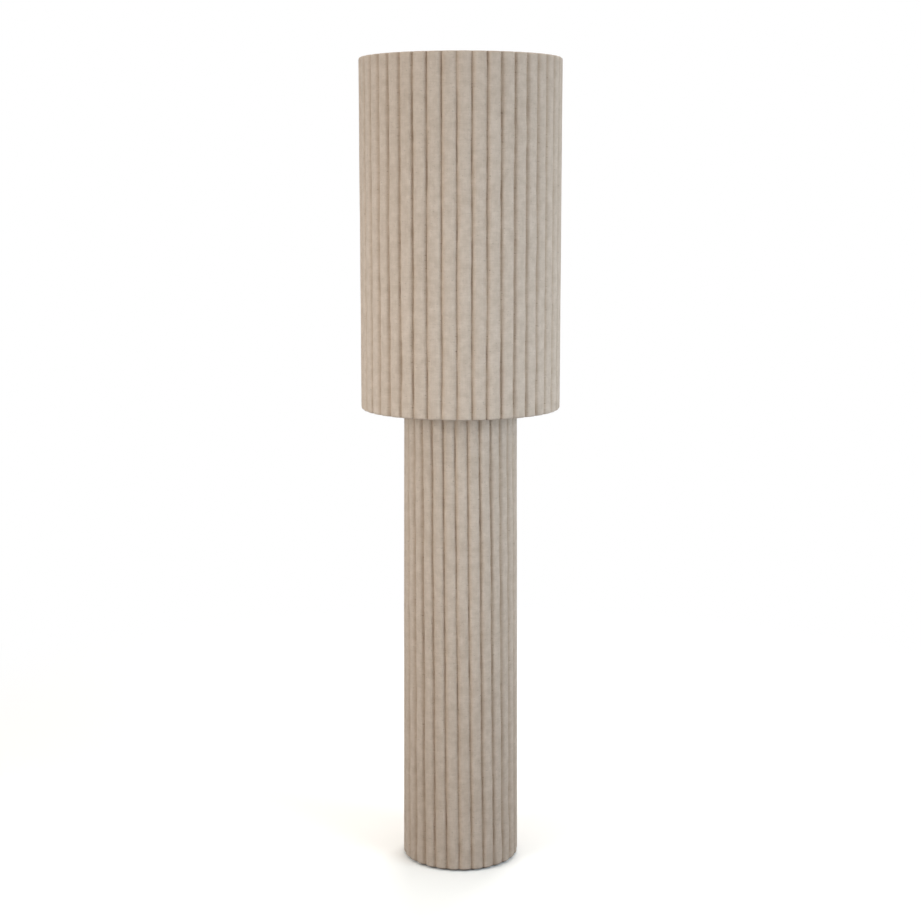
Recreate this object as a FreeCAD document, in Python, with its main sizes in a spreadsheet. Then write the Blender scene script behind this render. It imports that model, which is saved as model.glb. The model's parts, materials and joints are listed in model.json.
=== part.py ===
"""Column floor lamp: a drum shade over a narrower column, both in a ribbed, padded linen cover.

Millimetres, +Z up. The origin is on the floor, under the middle of the column. The front is -Y.
"""

import FreeCAD, Part
import math
import os

import Sketcher

FRONT = -90.0  # the direction of the lamp's front, in degrees from +X
END_ROUND_LEVELS = (0.0, 0.35, 1.0)  # where a rib's rounded end has its sections, from its tip
FOOT_ANGLE = 45  # where the first foot stands, in degrees from +X
WEIGHT_SCREW_ANGLE = 30  # where the weight's first screw stands
SIDES = (-1, 1)

# Driving dimensions. Angles are in degrees.
SIZES = {
    # the whole lamp
    "overall_height": 1300,
    "shade_height": 550,
    "shade_diameter": 319,
    "column_foot_diameter": 190.5,
    "column_top_diameter": 181.4,
    "column_reach": 20,
    "cover_lift": 3,
    "slip_gap": 0.2,
    "seat_gap": 0.1,
    "tool_overrun": 1,
    "fine_chamfer": 0.5,
    "chamfer": 0.8,
    # the ribbed covers
    "shade_rib_count": 43,
    "column_rib_count": 29,
    "shade_rib_depth": 4.5,
    "column_rib_depth": 4.5,
    "shade_first_channel": -2.1,
    "column_first_channel": -3.65,
    "column_rib_lean": 4.5,
    "rib_shoulder": 0.22,
    "rib_swell_place": 0.36,
    "rib_swell": 0.72,
    "rib_crown_rise": 0.8,
    "rib_end_round": 2.5,
    "rib_end_drop": 0.62,
    "channel_end_draw": 0.5,
    "cover_backing": 3.5,
    # column core, discs and weight
    "core_wall": 2.5,
    "foot_height": 5,
    "foot_diameter": 24,
    "foot_recess": 2.4,
    "foot_edge": 1,
    "foot_draft": 1.5,
    "foot_circle": 124,
    "foot_count": 4,
    "felt_thickness": 1,
    "felt_margin": 3,
    "base_disc_thickness": 12,
    "top_disc_thickness": 12,
    "top_cap_thickness": 2,
    "weight_diameter": 150,
    "weight_thickness": 22,
    "weight_edge": 2,
    # wood screws
    "foot_screw_diameter": 4,
    "foot_screw_head": 8,
    "foot_screw_head_height": 2,
    "foot_screw_depth": 8,
    "weight_screw_diameter": 5,
    "weight_screw_head": 10,
    "weight_screw_head_height": 3,
    "weight_screw_circle": 90,
    "weight_screw_count": 3,
    "weight_screw_depth": 8,
    "weight_screw_edge": 1,
    "disc_screw_diameter": 3.5,
    "disc_screw_head": 7,
    "disc_screw_head_height": 2,
    "disc_screw_length": 20,
    "disc_screw_count": 4,
    # cord inlet at the back and terminal block inside
    "inlet_height": 62,
    "gland_bore": 6.8,
    "gland_body": 13,
    "gland_flange": 20,
    "gland_flange_thickness": 3,
    "gland_nose": 11,
    "gland_nose_length": 9,
    "gland_nut_width": 18,
    "gland_nut_thickness": 5,
    "gland_tail": 3,
    "block_width": 26,
    "block_depth": 16,
    "block_height": 15,
    "block_front": 20,
    "block_pole_pitch": 12,
    "block_bore": 3.6,
    "block_bore_height": 6,
    "block_screw_margin": 2.2,
    "terminal_screw_diameter": 3,
    "terminal_screw_length": 6,
    "terminal_screw_sink": 0.6,
    "block_screw_diameter": 3,
    "block_screw_head": 5.4,
    "block_screw_head_height": 1.6,
    "block_screw_depth": 6,
    # wiring
    "lead_diameter": 5.8,
    "core_wire_diameter": 2,
    "core_wire_spread": 2.6,
    "lead_block_gap": 13,
    "lead_tail": 2,
    "block_core_straight": 3,
    "block_core_entry": 6.4,
    "holder_core_straight": 2,
    "holder_core_entry": 3.6,
    # threaded nipple and neck
    "nipple_diameter": 10,
    "nipple_bore": 7.6,
    "nipple_tail": 4,
    "nut_width": 17,
    "nut_thickness": 5,
    "washer_diameter": 30,
    "washer_thickness": 1.5,
    "neck_diameter": 16,
    "neck_length": 20,
    "neck_edge": 0.6,
    "top_cap_edge": 0.6,
    # lampholder
    "holder_collar_diameter": 18,
    "holder_collar_height": 6.5,
    "holder_cap_diameter": 40,
    "holder_cap_height": 22,
    "holder_cap_floor": 3,
    "holder_shoulder_rise": 5,
    "holder_shoulder_inset": 1,
    "holder_shoulder_round": 1.5,
    "holder_hollow_corner": 2,
    "holder_ledge": 3.4,
    "nipple_grip": 9,
    "grub_diameter": 3,
    "grub_length": 3.6,
    "skirt_diameter": 39.5,
    "skirt_wall": 2,
    "skirt_height": 37.5,
    "skirt_flange_height": 5,
    "skirt_flange_diameter": 48,
    "skirt_flange_thickness": 2.5,
    "insert_thickness": 9,
    "insert_screw_circle": 26,
    "insert_screw_diameter": 3,
    "insert_terminal_pitch": 16,
    "insert_terminal_bore": 3.2,
    "insert_terminal_depth": 6,
    "insert_screw_start": 2,
    "insert_screw_sink": 0.6,
    "shell_bore": 26.6,
    "shell_wall": 0.8,
    "shell_height": 24,
    "centre_contact_diameter": 8,
    "centre_contact_thickness": 1.4,
    "contact_dome": 1.2,
    "contact_rim": 0.4,
    # rotary switch in the lampholder's side
    "switch_height": 12.4,
    "switch_boss_diameter": 18,
    "switch_boss_reach": 27,
    "switch_boss_wall": 2,
    "switch_boss_inset": 1,
    "switch_block_diameter": 12.8,
    "switch_block_start": 13,
    "spindle_diameter": 4,
    "spindle_running_gap": 0.08,
    "spindle_start": 20,
    "spindle_length": 18,
    "knob_diameter": 15,
    "knob_length": 14,
    "knob_gap": 0.5,
    "knob_flute_count": 12,
    "knob_flute_diameter": 2.4,
    "knob_flute_offset": 0.43,
    "knob_flute_start": 2,
    "knob_taper": 0.4,
    "knob_edge": 1,
    # bulb
    "bulb_length": 105,
    "bulb_diameter": 60,
    "bulb_cap_diameter": 26.4,
    "bulb_cap_length": 23,
    "bulb_contact_diameter": 9,
    "bulb_contact_thickness": 1.2,
    "bulb_insulator_height": 4.6,
    "bulb_insulator_lip": 0.8,
    "bulb_insulator_inset": 1.6,
    "bulb_cap_wall": 1,
    "housing_height": 34,
    "housing_wall": 1.5,
    "housing_neck_height": 5,
    "housing_lip": 0.8,
    "housing_flare": 2,
    "globe_wall": 1.2,
    "led_board_thickness": 1.6,
    # shade frame
    "liner_wall": 1,
    "ring_wire_diameter": 4,
    "hem_thickness": 0.8,
    "hem_leg": 15,
    "spider_ring_bore": 41.2,
    "spider_ring_diameter": 62,
    "spider_ring_thickness": 2.5,
    "arm_count": 3,
    "arm_wire_diameter": 4,
    "arm_elbow_radius": 75,
    "arm_bend_radius": 14,
    "arm_first_angle": 90,
    "arm_slot_gap": 0.6,
    "clamp_ring_diameter": 58,
    "clamp_ring_height": 8,
    "clamp_ring_running_gap": 0.08,
    "clamp_notch_count": 16,
    "clamp_notch_diameter": 4,
    "clamp_notch_offset": 0.6,
    "clamp_notch_start": 2,
    "clamp_ring_edge": 1,
}

# Places and sizes that follow from the driving dimensions.
PLACES = {
    "shade_low": "sizes.overall_height - sizes.shade_height",
    "shade_crown": "sizes.shade_diameter / 2",
    "column_top": "shade_low + sizes.column_reach",
    "foot_crown": "sizes.column_foot_diameter / 2",
    "top_crown": "sizes.column_top_diameter / 2",
    "taper": "(top_crown - foot_crown) / (column_top - sizes.cover_lift)",
    # the column's cover is bored to slip over the core
    "column_wall": "sizes.column_rib_depth + sizes.cover_backing",
    "column_bore_foot": "foot_crown - column_wall",
    "column_bore_top": "top_crown - column_wall",
    "felt_low": "sizes.foot_height",
    "base_low": "felt_low + sizes.felt_thickness",
    "base_top": "base_low + sizes.base_disc_thickness",
    "cap_low": "column_top - sizes.top_cap_thickness",
    "top_disc_low": "cap_low - sizes.top_disc_thickness",
    "core_foot": "column_bore_foot - sizes.slip_gap + taper * (base_low - sizes.cover_lift)",
    "core_top": "column_bore_foot - sizes.slip_gap + taper * (cap_low - sizes.cover_lift)",
    "base_disc_radius": "core_foot + taper * sizes.base_disc_thickness - sizes.core_wall - sizes.slip_gap",
    "top_disc_radius": "core_top - sizes.core_wall - sizes.slip_gap",
    "felt_radius": "core_foot - sizes.felt_margin",
    "cap_radius": "column_bore_top - sizes.slip_gap",
    "weight_top": "base_top + sizes.weight_thickness",
    "weight_radius": "sizes.weight_diameter / 2",
    "foot_radius": "sizes.foot_diameter / 2",
    "foot_circle_radius": "sizes.foot_circle / 2",
    "foot_screw_low": "sizes.foot_height - sizes.foot_recess",
    "foot_screw_top": "base_low + sizes.foot_screw_depth",
    "foot_head_low": "foot_screw_low - sizes.foot_screw_head_height",
    "weight_screw_circle_radius": "sizes.weight_screw_circle / 2",
    "weight_head_top": "weight_top + sizes.weight_screw_head_height",
    "weight_screw_low": "base_top - sizes.weight_screw_depth",
    "base_screw_height": "base_low + sizes.base_disc_thickness / 2",
    "top_screw_height": "top_disc_low + sizes.top_disc_thickness / 2",
    "core_at_base_screw": "core_foot + taper * (base_screw_height - base_low)",
    "core_at_top_screw": "core_foot + taper * (top_screw_height - base_low)",
    # cord inlet
    "core_at_inlet": "core_foot + taper * (sizes.inlet_height - base_low)",
    "flange_face": "core_at_inlet + sizes.gland_flange_thickness",
    "gland_end": "flange_face + sizes.gland_nose_length",
    "core_inside_at_inlet": "sqrt(pow(core_at_inlet - sizes.core_wall; 2)"
    " - pow(sizes.gland_nut_width / sqrt(3); 2))",
    "gland_nut_outer": "core_inside_at_inlet - sizes.seat_gap",
    "gland_nut_inner": "gland_nut_outer - sizes.gland_nut_thickness",
    "gland_start": "gland_nut_inner - sizes.gland_tail",
    # terminal block, on the weight
    "block_low": "weight_top",
    "block_top": "block_low + sizes.block_height",
    "block_wire_height": "block_low + sizes.block_bore_height",
    "block_back": "sizes.block_front + sizes.block_depth",
    "block_middle": "sizes.block_front + sizes.block_depth / 2",
    "pole_offset": "sizes.block_pole_pitch / 2",
    "lead_end": "sizes.block_front - sizes.lead_block_gap",
    "block_screw_offset": "sizes.block_width / 2 - sizes.block_screw_margin",
    # neck and lampholder
    "neck_low": "column_top",
    "holder_low": "neck_low + sizes.neck_length",
    "nipple_radius": "sizes.nipple_diameter / 2",
    "nipple_top": "holder_low + sizes.nipple_grip",
    "lead_top": "nipple_top + sizes.lead_tail",
    "washer_low": "top_disc_low - sizes.washer_thickness",
    "nut_low": "washer_low - sizes.nut_thickness",
    "nipple_low": "nut_low - sizes.nipple_tail",
    "collar_radius": "sizes.holder_collar_diameter / 2",
    "collar_top": "holder_low + sizes.holder_collar_height",
    "cap_side_radius": "sizes.holder_cap_diameter / 2",
    "cap_hollow_radius": "cap_side_radius - sizes.holder_ledge",
    "cap_hollow_low": "collar_top + sizes.holder_cap_floor",
    "cap_side_low": "collar_top + sizes.holder_shoulder_rise",
    "holder_joint": "holder_low + sizes.holder_cap_height",
    "switch_axis": "holder_low + sizes.switch_height",
    "skirt_radius": "sizes.skirt_diameter / 2",
    "skirt_bore": "skirt_radius - sizes.skirt_wall",
    "skirt_top": "holder_joint + sizes.skirt_height",
    "flange_low": "holder_joint + sizes.skirt_flange_height",
    "flange_top": "flange_low + sizes.skirt_flange_thickness",
    "flange_radius": "sizes.skirt_flange_diameter / 2",
    "insert_radius": "skirt_bore - sizes.slip_gap",
    "insert_top": "holder_joint + sizes.insert_thickness",
    "shell_bore_radius": "sizes.shell_bore / 2",
    "shell_radius": "shell_bore_radius + sizes.shell_wall",
    "shell_top": "insert_top + sizes.shell_height",
    "contact_top": "insert_top + sizes.centre_contact_thickness",
    # bulb
    "bulb_low": "contact_top + sizes.seat_gap",
    "bulb_top": "bulb_low + sizes.bulb_length",
    "insulator_low": "bulb_low + sizes.bulb_contact_thickness",
    "bulb_cap_low": "insulator_low + sizes.bulb_insulator_height",
    "bulb_cap_radius": "sizes.bulb_cap_diameter / 2",
    "housing_low": "bulb_cap_low + sizes.bulb_cap_length",
    "housing_top": "housing_low + sizes.housing_height",
    "globe_radius": "sizes.bulb_diameter / 2",
    "globe_centre": "bulb_top - globe_radius",
    "globe_mouth": "sqrt(pow(globe_radius; 2) - pow(globe_centre - housing_top; 2))",
    "housing_neck": "bulb_cap_radius + sizes.housing_lip",
    "housing_shoulder": "housing_neck + sizes.housing_flare",
    # switch
    "boss_end": "sizes.switch_boss_reach",
    "knob_start": "boss_end + sizes.knob_gap",
    "knob_end": "knob_start + sizes.knob_length",
    "knob_radius": "sizes.knob_diameter / 2",
    "spindle_end": "sizes.spindle_start + sizes.spindle_length",
    # shade
    "shade_bore": "shade_crown - sizes.shade_rib_depth - sizes.cover_backing",
    "liner_radius": "shade_bore - sizes.slip_gap",
    "liner_bore": "liner_radius - sizes.liner_wall",
    "wire_radius": "sizes.ring_wire_diameter / 2",
    "ring_circle": "liner_bore - wire_radius - sizes.seat_gap",
    "hem_outer": "ring_circle - wire_radius - sizes.seat_gap",
    "hem_inner": "hem_outer - sizes.hem_thickness",
    "hem_top": "sizes.overall_height - sizes.slip_gap",
    "hem_low": "shade_low + sizes.slip_gap",
    "liner_top": "hem_top - sizes.hem_thickness - sizes.seat_gap",
    "liner_low": "hem_low + sizes.hem_thickness + sizes.seat_gap",
    "top_ring_height": "liner_top - wire_radius",
    "bottom_ring_height": "liner_low + wire_radius",
    "spider_low": "flange_top + sizes.seat_gap",
    "spider_top": "spider_low + sizes.spider_ring_thickness",
    "spider_middle": "spider_low + sizes.spider_ring_thickness / 2",
    "clamp_low": "spider_top + sizes.seat_gap",
    "clamp_top": "clamp_low + sizes.clamp_ring_height",
    "clamp_radius": "sizes.clamp_ring_diameter / 2",
}

# The inner lead's route through the column, from the terminal block up into the nipple. Each point
# is chosen by hand: its place across the column, and how far up the climb from the block to the
# nipple's foot it lies.
LEAD_CLIMB = [
    (0.0, -14.0, 0.000),
    (1.5, -34.0, 0.016),
    (4.0, -44.0, 0.051),
    (5.0, -45.0, 0.110),
    (2.0, -41.0, 0.185),
    (-2.0, -36.5, 0.270),
    (-3.5, -30.5, 0.360),
    (-1.0, -24.0, 0.455),
    (2.0, -18.5, 0.550),
    (2.5, -12.5, 0.645),
    (0.5, -7.0, 0.740),
    (-1.0, -3.0, 0.830),
    (0.0, 0.0, 0.915),
]

document = FreeCAD.newDocument("ColumnFloorLamp")


def add_sheet(name, rows):
    """A spreadsheet with one named value in each row."""
    sheet = document.addObject("Spreadsheet::Sheet", name)
    for row, (alias, content) in enumerate(rows.items(), start=1):
        sheet.set(f"A{row}", alias)
        sheet.set(f"B{row}", str(content))
        sheet.setAlias(f"B{row}", alias)
    document.recompute()
    return sheet


sizes = add_sheet("sizes", SIZES)
places = add_sheet("places", {alias: "=" + formula for alias, formula in PLACES.items()})


def value_of(expression):
    """The number that an expression gives, in millimetres or degrees."""
    return float(places.evalExpression(expression))


# ---------------------------------------------------------------- sketches and solids of turning


def plane_of(body, role):
    """One of the three planes of a body's own origin."""
    return next(feature for feature in body.Origin.OriginFeatures if feature.Role == role)


def fix_corner(sketch, corner, kind, expression, axis):
    """Hold one coordinate of a corner to an expression, or to the sketch's axis where it is 0."""
    if expression == "0":
        sketch.addConstraint(Sketcher.Constraint("PointOnObject", corner, 1, axis))
        return
    rule = Sketcher.Constraint(kind, -1, 1, corner, 1, value_of(expression))
    number = sketch.addConstraint(rule)
    sketch.setExpression(f"Constraints[{number}]", expression)


def draw_outline(body, role, corners):
    """A closed outline of straight lines on one of the body's planes."""
    sketch = body.newObject("Sketcher::SketchObject", body.Name + "_outline")
    sketch.AttachmentSupport = [(plane_of(body, role), "")]
    sketch.MapMode = "FlatFace"
    points = [FreeCAD.Vector(value_of(across), value_of(up), 0) for across, up in corners]
    count = len(points)
    for index in range(count):
        sketch.addGeometry(Part.LineSegment(points[index], points[(index + 1) % count]), False)
    for index in range(count):
        sketch.addConstraint(Sketcher.Constraint("Coincident", index, 2, (index + 1) % count, 1))
    for index, (across, up) in enumerate(corners):
        fix_corner(sketch, index, "DistanceX", across, -2)
        fix_corner(sketch, index, "DistanceY", up, -1)
    return sketch


def add_axis(sketch, kind, expression):
    """A construction line in the sketch to turn the outline about."""
    offset = value_of(expression)
    upright = kind == "DistanceX"
    start = FreeCAD.Vector(offset, 0, 0) if upright else FreeCAD.Vector(0, offset, 0)
    end = FreeCAD.Vector(offset, 1, 0) if upright else FreeCAD.Vector(1, offset, 0)
    line = sketch.addGeometry(Part.LineSegment(start, end), True)
    sketch.addConstraint(Sketcher.Constraint("Vertical" if upright else "Horizontal", line))
    rule = Sketcher.Constraint(kind, -1, 1, line, 1, offset)
    number = sketch.addConstraint(rule)
    sketch.setExpression(f"Constraints[{number}]", expression)


def copy_round(body, feature, count, first_angle):
    """Copy a body's feature round the lamp's axis, from the first angle."""
    pattern = body.newObject("PartDesign::PolarPattern", body.Name + "_copies")
    pattern.Originals = [feature]
    pattern.Axis = (plane_of(body, "Z_Axis"), [""])
    pattern.Angle = 360
    pattern.setExpression("Occurrences", count)
    body.Tip = pattern
    turn = FreeCAD.Rotation(FreeCAD.Vector(0, 0, 1), first_angle)
    body.Placement = FreeCAD.Placement(FreeCAD.Vector(0, 0, 0), turn)


def turned(label, outline, axis_at="0", count=None, first_angle=0):
    """A solid turned about an upright axis from (radius, height) corners.

    The axis stands at axis_at along +X. With a count, copies stand round the lamp's own axis.
    """
    body = document.addObject("PartDesign::Body", label)
    body.AllowCompound = True
    if axis_at == "0":
        corners = outline
    else:
        corners = [(axis_at if radius == "0" else f"{axis_at} + {radius}", up) for radius, up in outline]
    sketch = draw_outline(body, "XZ_Plane", corners)
    if axis_at != "0":
        add_axis(sketch, "DistanceX", axis_at)
    turning = body.newObject("PartDesign::Revolution", label + "_turned")
    turning.Profile = sketch
    turning.ReferenceAxis = (sketch, ["V_Axis"] if axis_at == "0" else ["Axis0"])
    turning.Angle = 360
    sketch.Visibility = False
    if count is not None:
        document.recompute()
        copy_round(body, turning, count, first_angle)
    return body


def turned_lying(label, outline, height, count=None, first_angle=0):
    """A solid turned about an axis along +X at a height, from (distance, radius) corners."""
    body = document.addObject("PartDesign::Body", label)
    body.AllowCompound = True
    corners = [(along, height if radius == "0" else f"{height} + {radius}") for along, radius in outline]
    sketch = draw_outline(body, "XZ_Plane", corners)
    add_axis(sketch, "DistanceY", height)
    turning = body.newObject("PartDesign::Revolution", label + "_turned")
    turning.Profile = sketch
    turning.ReferenceAxis = (sketch, ["Axis0"])
    turning.Angle = 360
    sketch.Visibility = False
    if count is None:
        turn = FreeCAD.Rotation(FreeCAD.Vector(0, 0, 1), first_angle)
        body.Placement = FreeCAD.Placement(FreeCAD.Vector(0, 0, 0), turn)
    else:
        document.recompute()
        copy_round(body, turning, count, first_angle)
    return body


# ---------------------------------------------------------------- plain solids and booleans


def place(solid, at_x="0", at_y="0", at_z="0"):
    """Bind a solid's place to expressions."""
    for axis, expression in (("x", at_x), ("y", at_y), ("z", at_z)):
        if expression != "0":
            solid.setExpression(f"Placement.Base.{axis}", expression)
    return solid


def rod(label, diameter, low, high, at_x="0", at_y="0"):
    """An upright cylinder between two heights."""
    solid = document.addObject("Part::Cylinder", label)
    solid.setExpression("Radius", f"({diameter}) / 2")
    solid.setExpression("Height", f"({high}) - ({low})")
    return place(solid, at_x, at_y, low)


def lying_rod(label, diameter, start, end, height, along, aside="0"):
    """A level cylinder along X or Y between two distances."""
    solid = document.addObject("Part::Cylinder", label)
    solid.setExpression("Radius", f"({diameter}) / 2")
    solid.setExpression("Height", f"({end}) - ({start})")
    if along == "x":
        turn = FreeCAD.Rotation(FreeCAD.Vector(0, 1, 0), 90)
    else:
        turn = FreeCAD.Rotation(FreeCAD.Vector(1, 0, 0), -90)
    solid.Placement = FreeCAD.Placement(FreeCAD.Vector(0, 0, 0), turn)
    if along == "x":
        return place(solid, start, aside, height)
    return place(solid, aside, start, height)


def rod_circle(label, diameter, low, high, circle_radius, count, first_angle):
    """Upright cylinders evenly round the lamp's axis."""
    rods = []
    for index in range(int(value_of(count))):
        angle = f"{first_angle} deg + {index} * 360 deg / {count}"
        at_x = f"{circle_radius} * cos({angle})"
        at_y = f"{circle_radius} * sin({angle})"
        rods.append(rod(f"{label}_{index + 1}", diameter, low, high, at_x, at_y))
    return together(label, rods)


def frustum(label, low_radius, high_radius, low, high):
    """An upright cone frustum between two heights."""
    solid = document.addObject("Part::Cone", label)
    solid.setExpression("Radius1", low_radius)
    solid.setExpression("Radius2", high_radius)
    solid.setExpression("Height", f"({high}) - ({low})")
    return place(solid, at_z=low)


def hexagon(label, width, start, end, level_at=None):
    """A hexagonal prism, measured across its flats: upright, or along Y at the height level_at."""
    solid = document.addObject("Part::Prism", label)
    solid.Polygon = 6
    solid.setExpression("Circumradius", f"{width} / sqrt(3)")
    solid.setExpression("Height", f"({end}) - ({start})")
    if level_at is None:
        return place(solid, at_z=start)
    turn = FreeCAD.Rotation(FreeCAD.Vector(1, 0, 0), -90)
    solid.Placement = FreeCAD.Placement(FreeCAD.Vector(0, 0, 0), turn)
    return place(solid, at_y=start, at_z=level_at)


def together(label, solids):
    """Separate solids kept as one group."""
    group = document.addObject("Part::Compound", label)
    group.Links = solids
    return group


def joined(label, first, second):
    """Two solids fused into one."""
    fusion = document.addObject("Part::Fuse", label)
    fusion.Base = first
    fusion.Tool = second
    return fusion


def cut(label, solid, tools):
    """A solid with one or more tools cut away."""
    result = solid
    for index, tool in enumerate(tools, start=1):
        last = index == len(tools)
        step = document.addObject("Part::Cut", label if last else f"{label}_cut_{index}")
        step.Base = result
        step.Tool = tool
        result = step
    return result


def loose(label, shape):
    """A sub-part whose shape is worked out here from the sheets."""
    feature = document.addObject("Part::Feature", label)
    feature.Shape = shape
    feature.Placement = FreeCAD.Placement()
    return feature


# ---------------------------------------------------------------- ribbed covers


def polar(radius, angle, height):
    """A point at an angle in degrees round the lamp's axis."""
    turn = math.radians(angle)
    return FreeCAD.Vector(radius * math.cos(turn), radius * math.sin(turn), height)


def ribbed_section(height, crown_radius, rib_depth, rib_count, first_channel):
    """The closed outline of a ribbed cover at one height.

    Each rib is a broad, slightly bowed crown between two rounded shoulders, which meet the next
    rib's shoulder in a narrow channel. rib_crown_rise is how far the crown bows out. A shoulder has
    reached the share rib_swell of its height at the share rib_swell_place of its width.
    """
    shoulder = value_of("sizes.rib_shoulder")
    crown_rise = value_of("sizes.rib_crown_rise")
    pitch = 360.0 / rib_count
    channel_radius = crown_radius - rib_depth
    edge_radius = crown_radius - crown_rise
    swell_radius = channel_radius + value_of("sizes.rib_swell") * (edge_radius - channel_radius)
    swell_place = value_of("sizes.rib_swell_place") * shoulder
    edges = []
    for index in range(rib_count):
        start = FRONT + first_channel + index * pitch
        channel = polar(channel_radius, start, height)
        rise = polar(swell_radius, start + swell_place * pitch, height)
        left_edge = polar(edge_radius, start + shoulder * pitch, height)
        crown = polar(crown_radius, start + 0.5 * pitch, height)
        right_edge = polar(edge_radius, start + (1 - shoulder) * pitch, height)
        fall = polar(swell_radius, start + (1 - swell_place) * pitch, height)
        next_channel = polar(channel_radius, start + pitch, height)
        edges.append(Part.Arc(channel, rise, left_edge).toShape())
        edges.append(Part.Arc(left_edge, crown, right_edge).toShape())
        edges.append(Part.Arc(right_edge, fall, next_channel).toShape())
    return Part.Wire(edges)


def ribbed_block(label, low, high, crowns, rib_depth, rib_count, channels):
    """The ribbed outside of a cover, solid, with its ribs rounded over at both ends.

    crowns and channels hold the crown radius and the first channel's angle at the low and the
    high end. At each end the crown draws in by up to rib_end_drop of the rounding's length, and
    the channel by the share channel_end_draw of that.
    """
    end_round = value_of("sizes.rib_end_round")
    end_drop = value_of("sizes.rib_end_drop") * end_round
    channel_draw = value_of("sizes.channel_end_draw")
    height = high - low
    ends = [(share * end_round, end_drop * (1 - share) ** 3) for share in END_ROUND_LEVELS]
    levels = [(low + rise, drop) for rise, drop in ends]
    levels += [(high - rise, drop) for rise, drop in reversed(ends)]
    wires = []
    for level, drop in levels:
        climb = (level - low) / height
        crown = crowns[0] + (crowns[1] - crowns[0]) * climb - drop
        channel = channels[0] + (channels[1] - channels[0]) * climb
        wires.append(ribbed_section(level, crown, rib_depth - drop * channel_draw, rib_count, channel))
    return loose(label, Part.makeLoft(wires, True, True))


def make_column_cover():
    """The column's cover: ribs that lean a little, bored to a taper that slips over the core."""
    mean = value_of("sizes.column_first_channel")
    half_lean = value_of("sizes.column_rib_lean") / 2
    block = ribbed_block(
        "column_cover_ribs",
        value_of("sizes.cover_lift"),
        value_of("column_top"),
        (value_of("foot_crown"), value_of("top_crown")),
        value_of("sizes.column_rib_depth"),
        int(value_of("sizes.column_rib_count")),
        (mean + half_lean, mean - half_lean),
    )
    bore = frustum(
        "column_cover_bore",
        "places.column_bore_foot - places.taper * sizes.tool_overrun",
        "places.column_bore_top + places.taper * sizes.tool_overrun",
        "sizes.cover_lift - sizes.tool_overrun",
        "places.column_top + sizes.tool_overrun",
    )
    inlet = lying_rod(
        "column_cover_inlet",
        "sizes.gland_flange + 2 * sizes.slip_gap",
        "places.core_at_inlet - places.column_wall",
        "places.foot_crown + sizes.tool_overrun",
        "sizes.inlet_height",
        "y",
    )
    return cut("column_cover", block, [bore, inlet])


def make_shade_cover():
    """The shade's cover: a straight drum of upright ribs."""
    crown = value_of("shade_crown")
    channel = value_of("sizes.shade_first_channel")
    block = ribbed_block(
        "shade_cover_ribs",
        value_of("shade_low"),
        value_of("sizes.overall_height"),
        (crown, crown),
        value_of("sizes.shade_rib_depth"),
        int(value_of("sizes.shade_rib_count")),
        (channel, channel),
    )
    bore = rod(
        "shade_cover_bore",
        "2 * places.shade_bore",
        "places.shade_low - sizes.tool_overrun",
        "sizes.overall_height + sizes.tool_overrun",
    )
    return cut("shade_cover", block, [bore])


# ---------------------------------------------------------------- bent wires and leads


def rounded_path(points, radii):
    """Straight runs joined by tangent arcs, with the radius of each inner point's arc."""
    edges = []
    run_start = points[0]
    for index, radius in enumerate(radii, start=1):
        corner = points[index]
        inward = (corner - points[index - 1]).normalize()
        outward = (points[index + 1] - corner).normalize()
        half_turn = inward.getAngle(outward) / 2
        reach = radius * math.tan(half_turn)
        arc_start = corner - inward * reach
        arc_end = corner + outward * reach
        to_centre = (outward - inward).normalize()
        bow = radius / math.cos(half_turn) - radius
        edges.append(Part.LineSegment(run_start, arc_start).toShape())
        edges.append(Part.Arc(arc_start, corner + to_centre * bow, arc_end).toShape())
        run_start = arc_end
    edges.append(Part.LineSegment(run_start, points[-1]).toShape())
    return Part.Wire(edges)


def easy_radii(points):
    """For each inner point, the radius whose arc takes up 0.45 of the shorter run beside it."""
    radii = []
    for before, corner, after in zip(points, points[1:], points[2:]):
        half_turn = (corner - before).getAngle(after - corner) / 2
        shorter = min(corner.distanceToPoint(before), corner.distanceToPoint(after))
        radii.append(0.45 * shorter / math.tan(half_turn))
    return radii


def round_wire(points, radii, diameter):
    """A solid round wire along a path."""
    path = rounded_path(points, radii)
    direction = points[1] - points[0]
    circle = Part.Circle(points[0], direction, diameter / 2).toShape()
    return path.makePipeShell([Part.Wire(circle)], True, False), path.Length


def make_inner_lead():
    """The lead inside the column, from the terminal block up through the nipple."""
    foot = value_of("block_wire_height")
    climb = value_of("nipple_low") - foot
    points = [FreeCAD.Vector(0, value_of("lead_end"), foot)]
    points += [FreeCAD.Vector(across, along, foot + climb * share) for across, along, share in LEAD_CLIMB]
    points.append(FreeCAD.Vector(0, 0, value_of("lead_top")))
    diameter = value_of("sizes.lead_diameter")
    radii = easy_radii(points)
    solid, length = round_wire(points, radii, diameter)
    section = math.pi * diameter * diameter / 4
    print("inner lead: length", round(length, 1), "volume over section", round(solid.Volume / section, 1))
    print("inner lead: radii", [round(radius) for radius in radii])
    return loose("inner_lead", solid)


def wire_pair(label, ends):
    """Two insulated cores, each bending aside from the lead's end to its own terminal."""
    wires = []
    for start, first_bend, second_bend, end in ends:
        points = [start, first_bend, second_bend, end]
        wires.append(round_wire(points, easy_radii(points), value_of("sizes.core_wire_diameter"))[0])
    return loose(label, Part.Compound(wires))


def make_block_cores():
    """The lead's two cores from its lower end into the terminal block."""
    height = value_of("block_wire_height")
    start = value_of("lead_end")
    into = value_of("sizes.block_front")
    straight = value_of("sizes.block_core_straight")
    ends = []
    for side in SIDES:
        near = side * value_of("sizes.core_wire_spread / 2")
        far = side * value_of("pole_offset")
        ends.append((
            FreeCAD.Vector(near, start, height),
            FreeCAD.Vector(near, start + straight, height),
            FreeCAD.Vector(far, into - straight, height),
            FreeCAD.Vector(far, into + value_of("sizes.block_core_entry"), height),
        ))
    return wire_pair("block_cores", ends)


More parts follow.
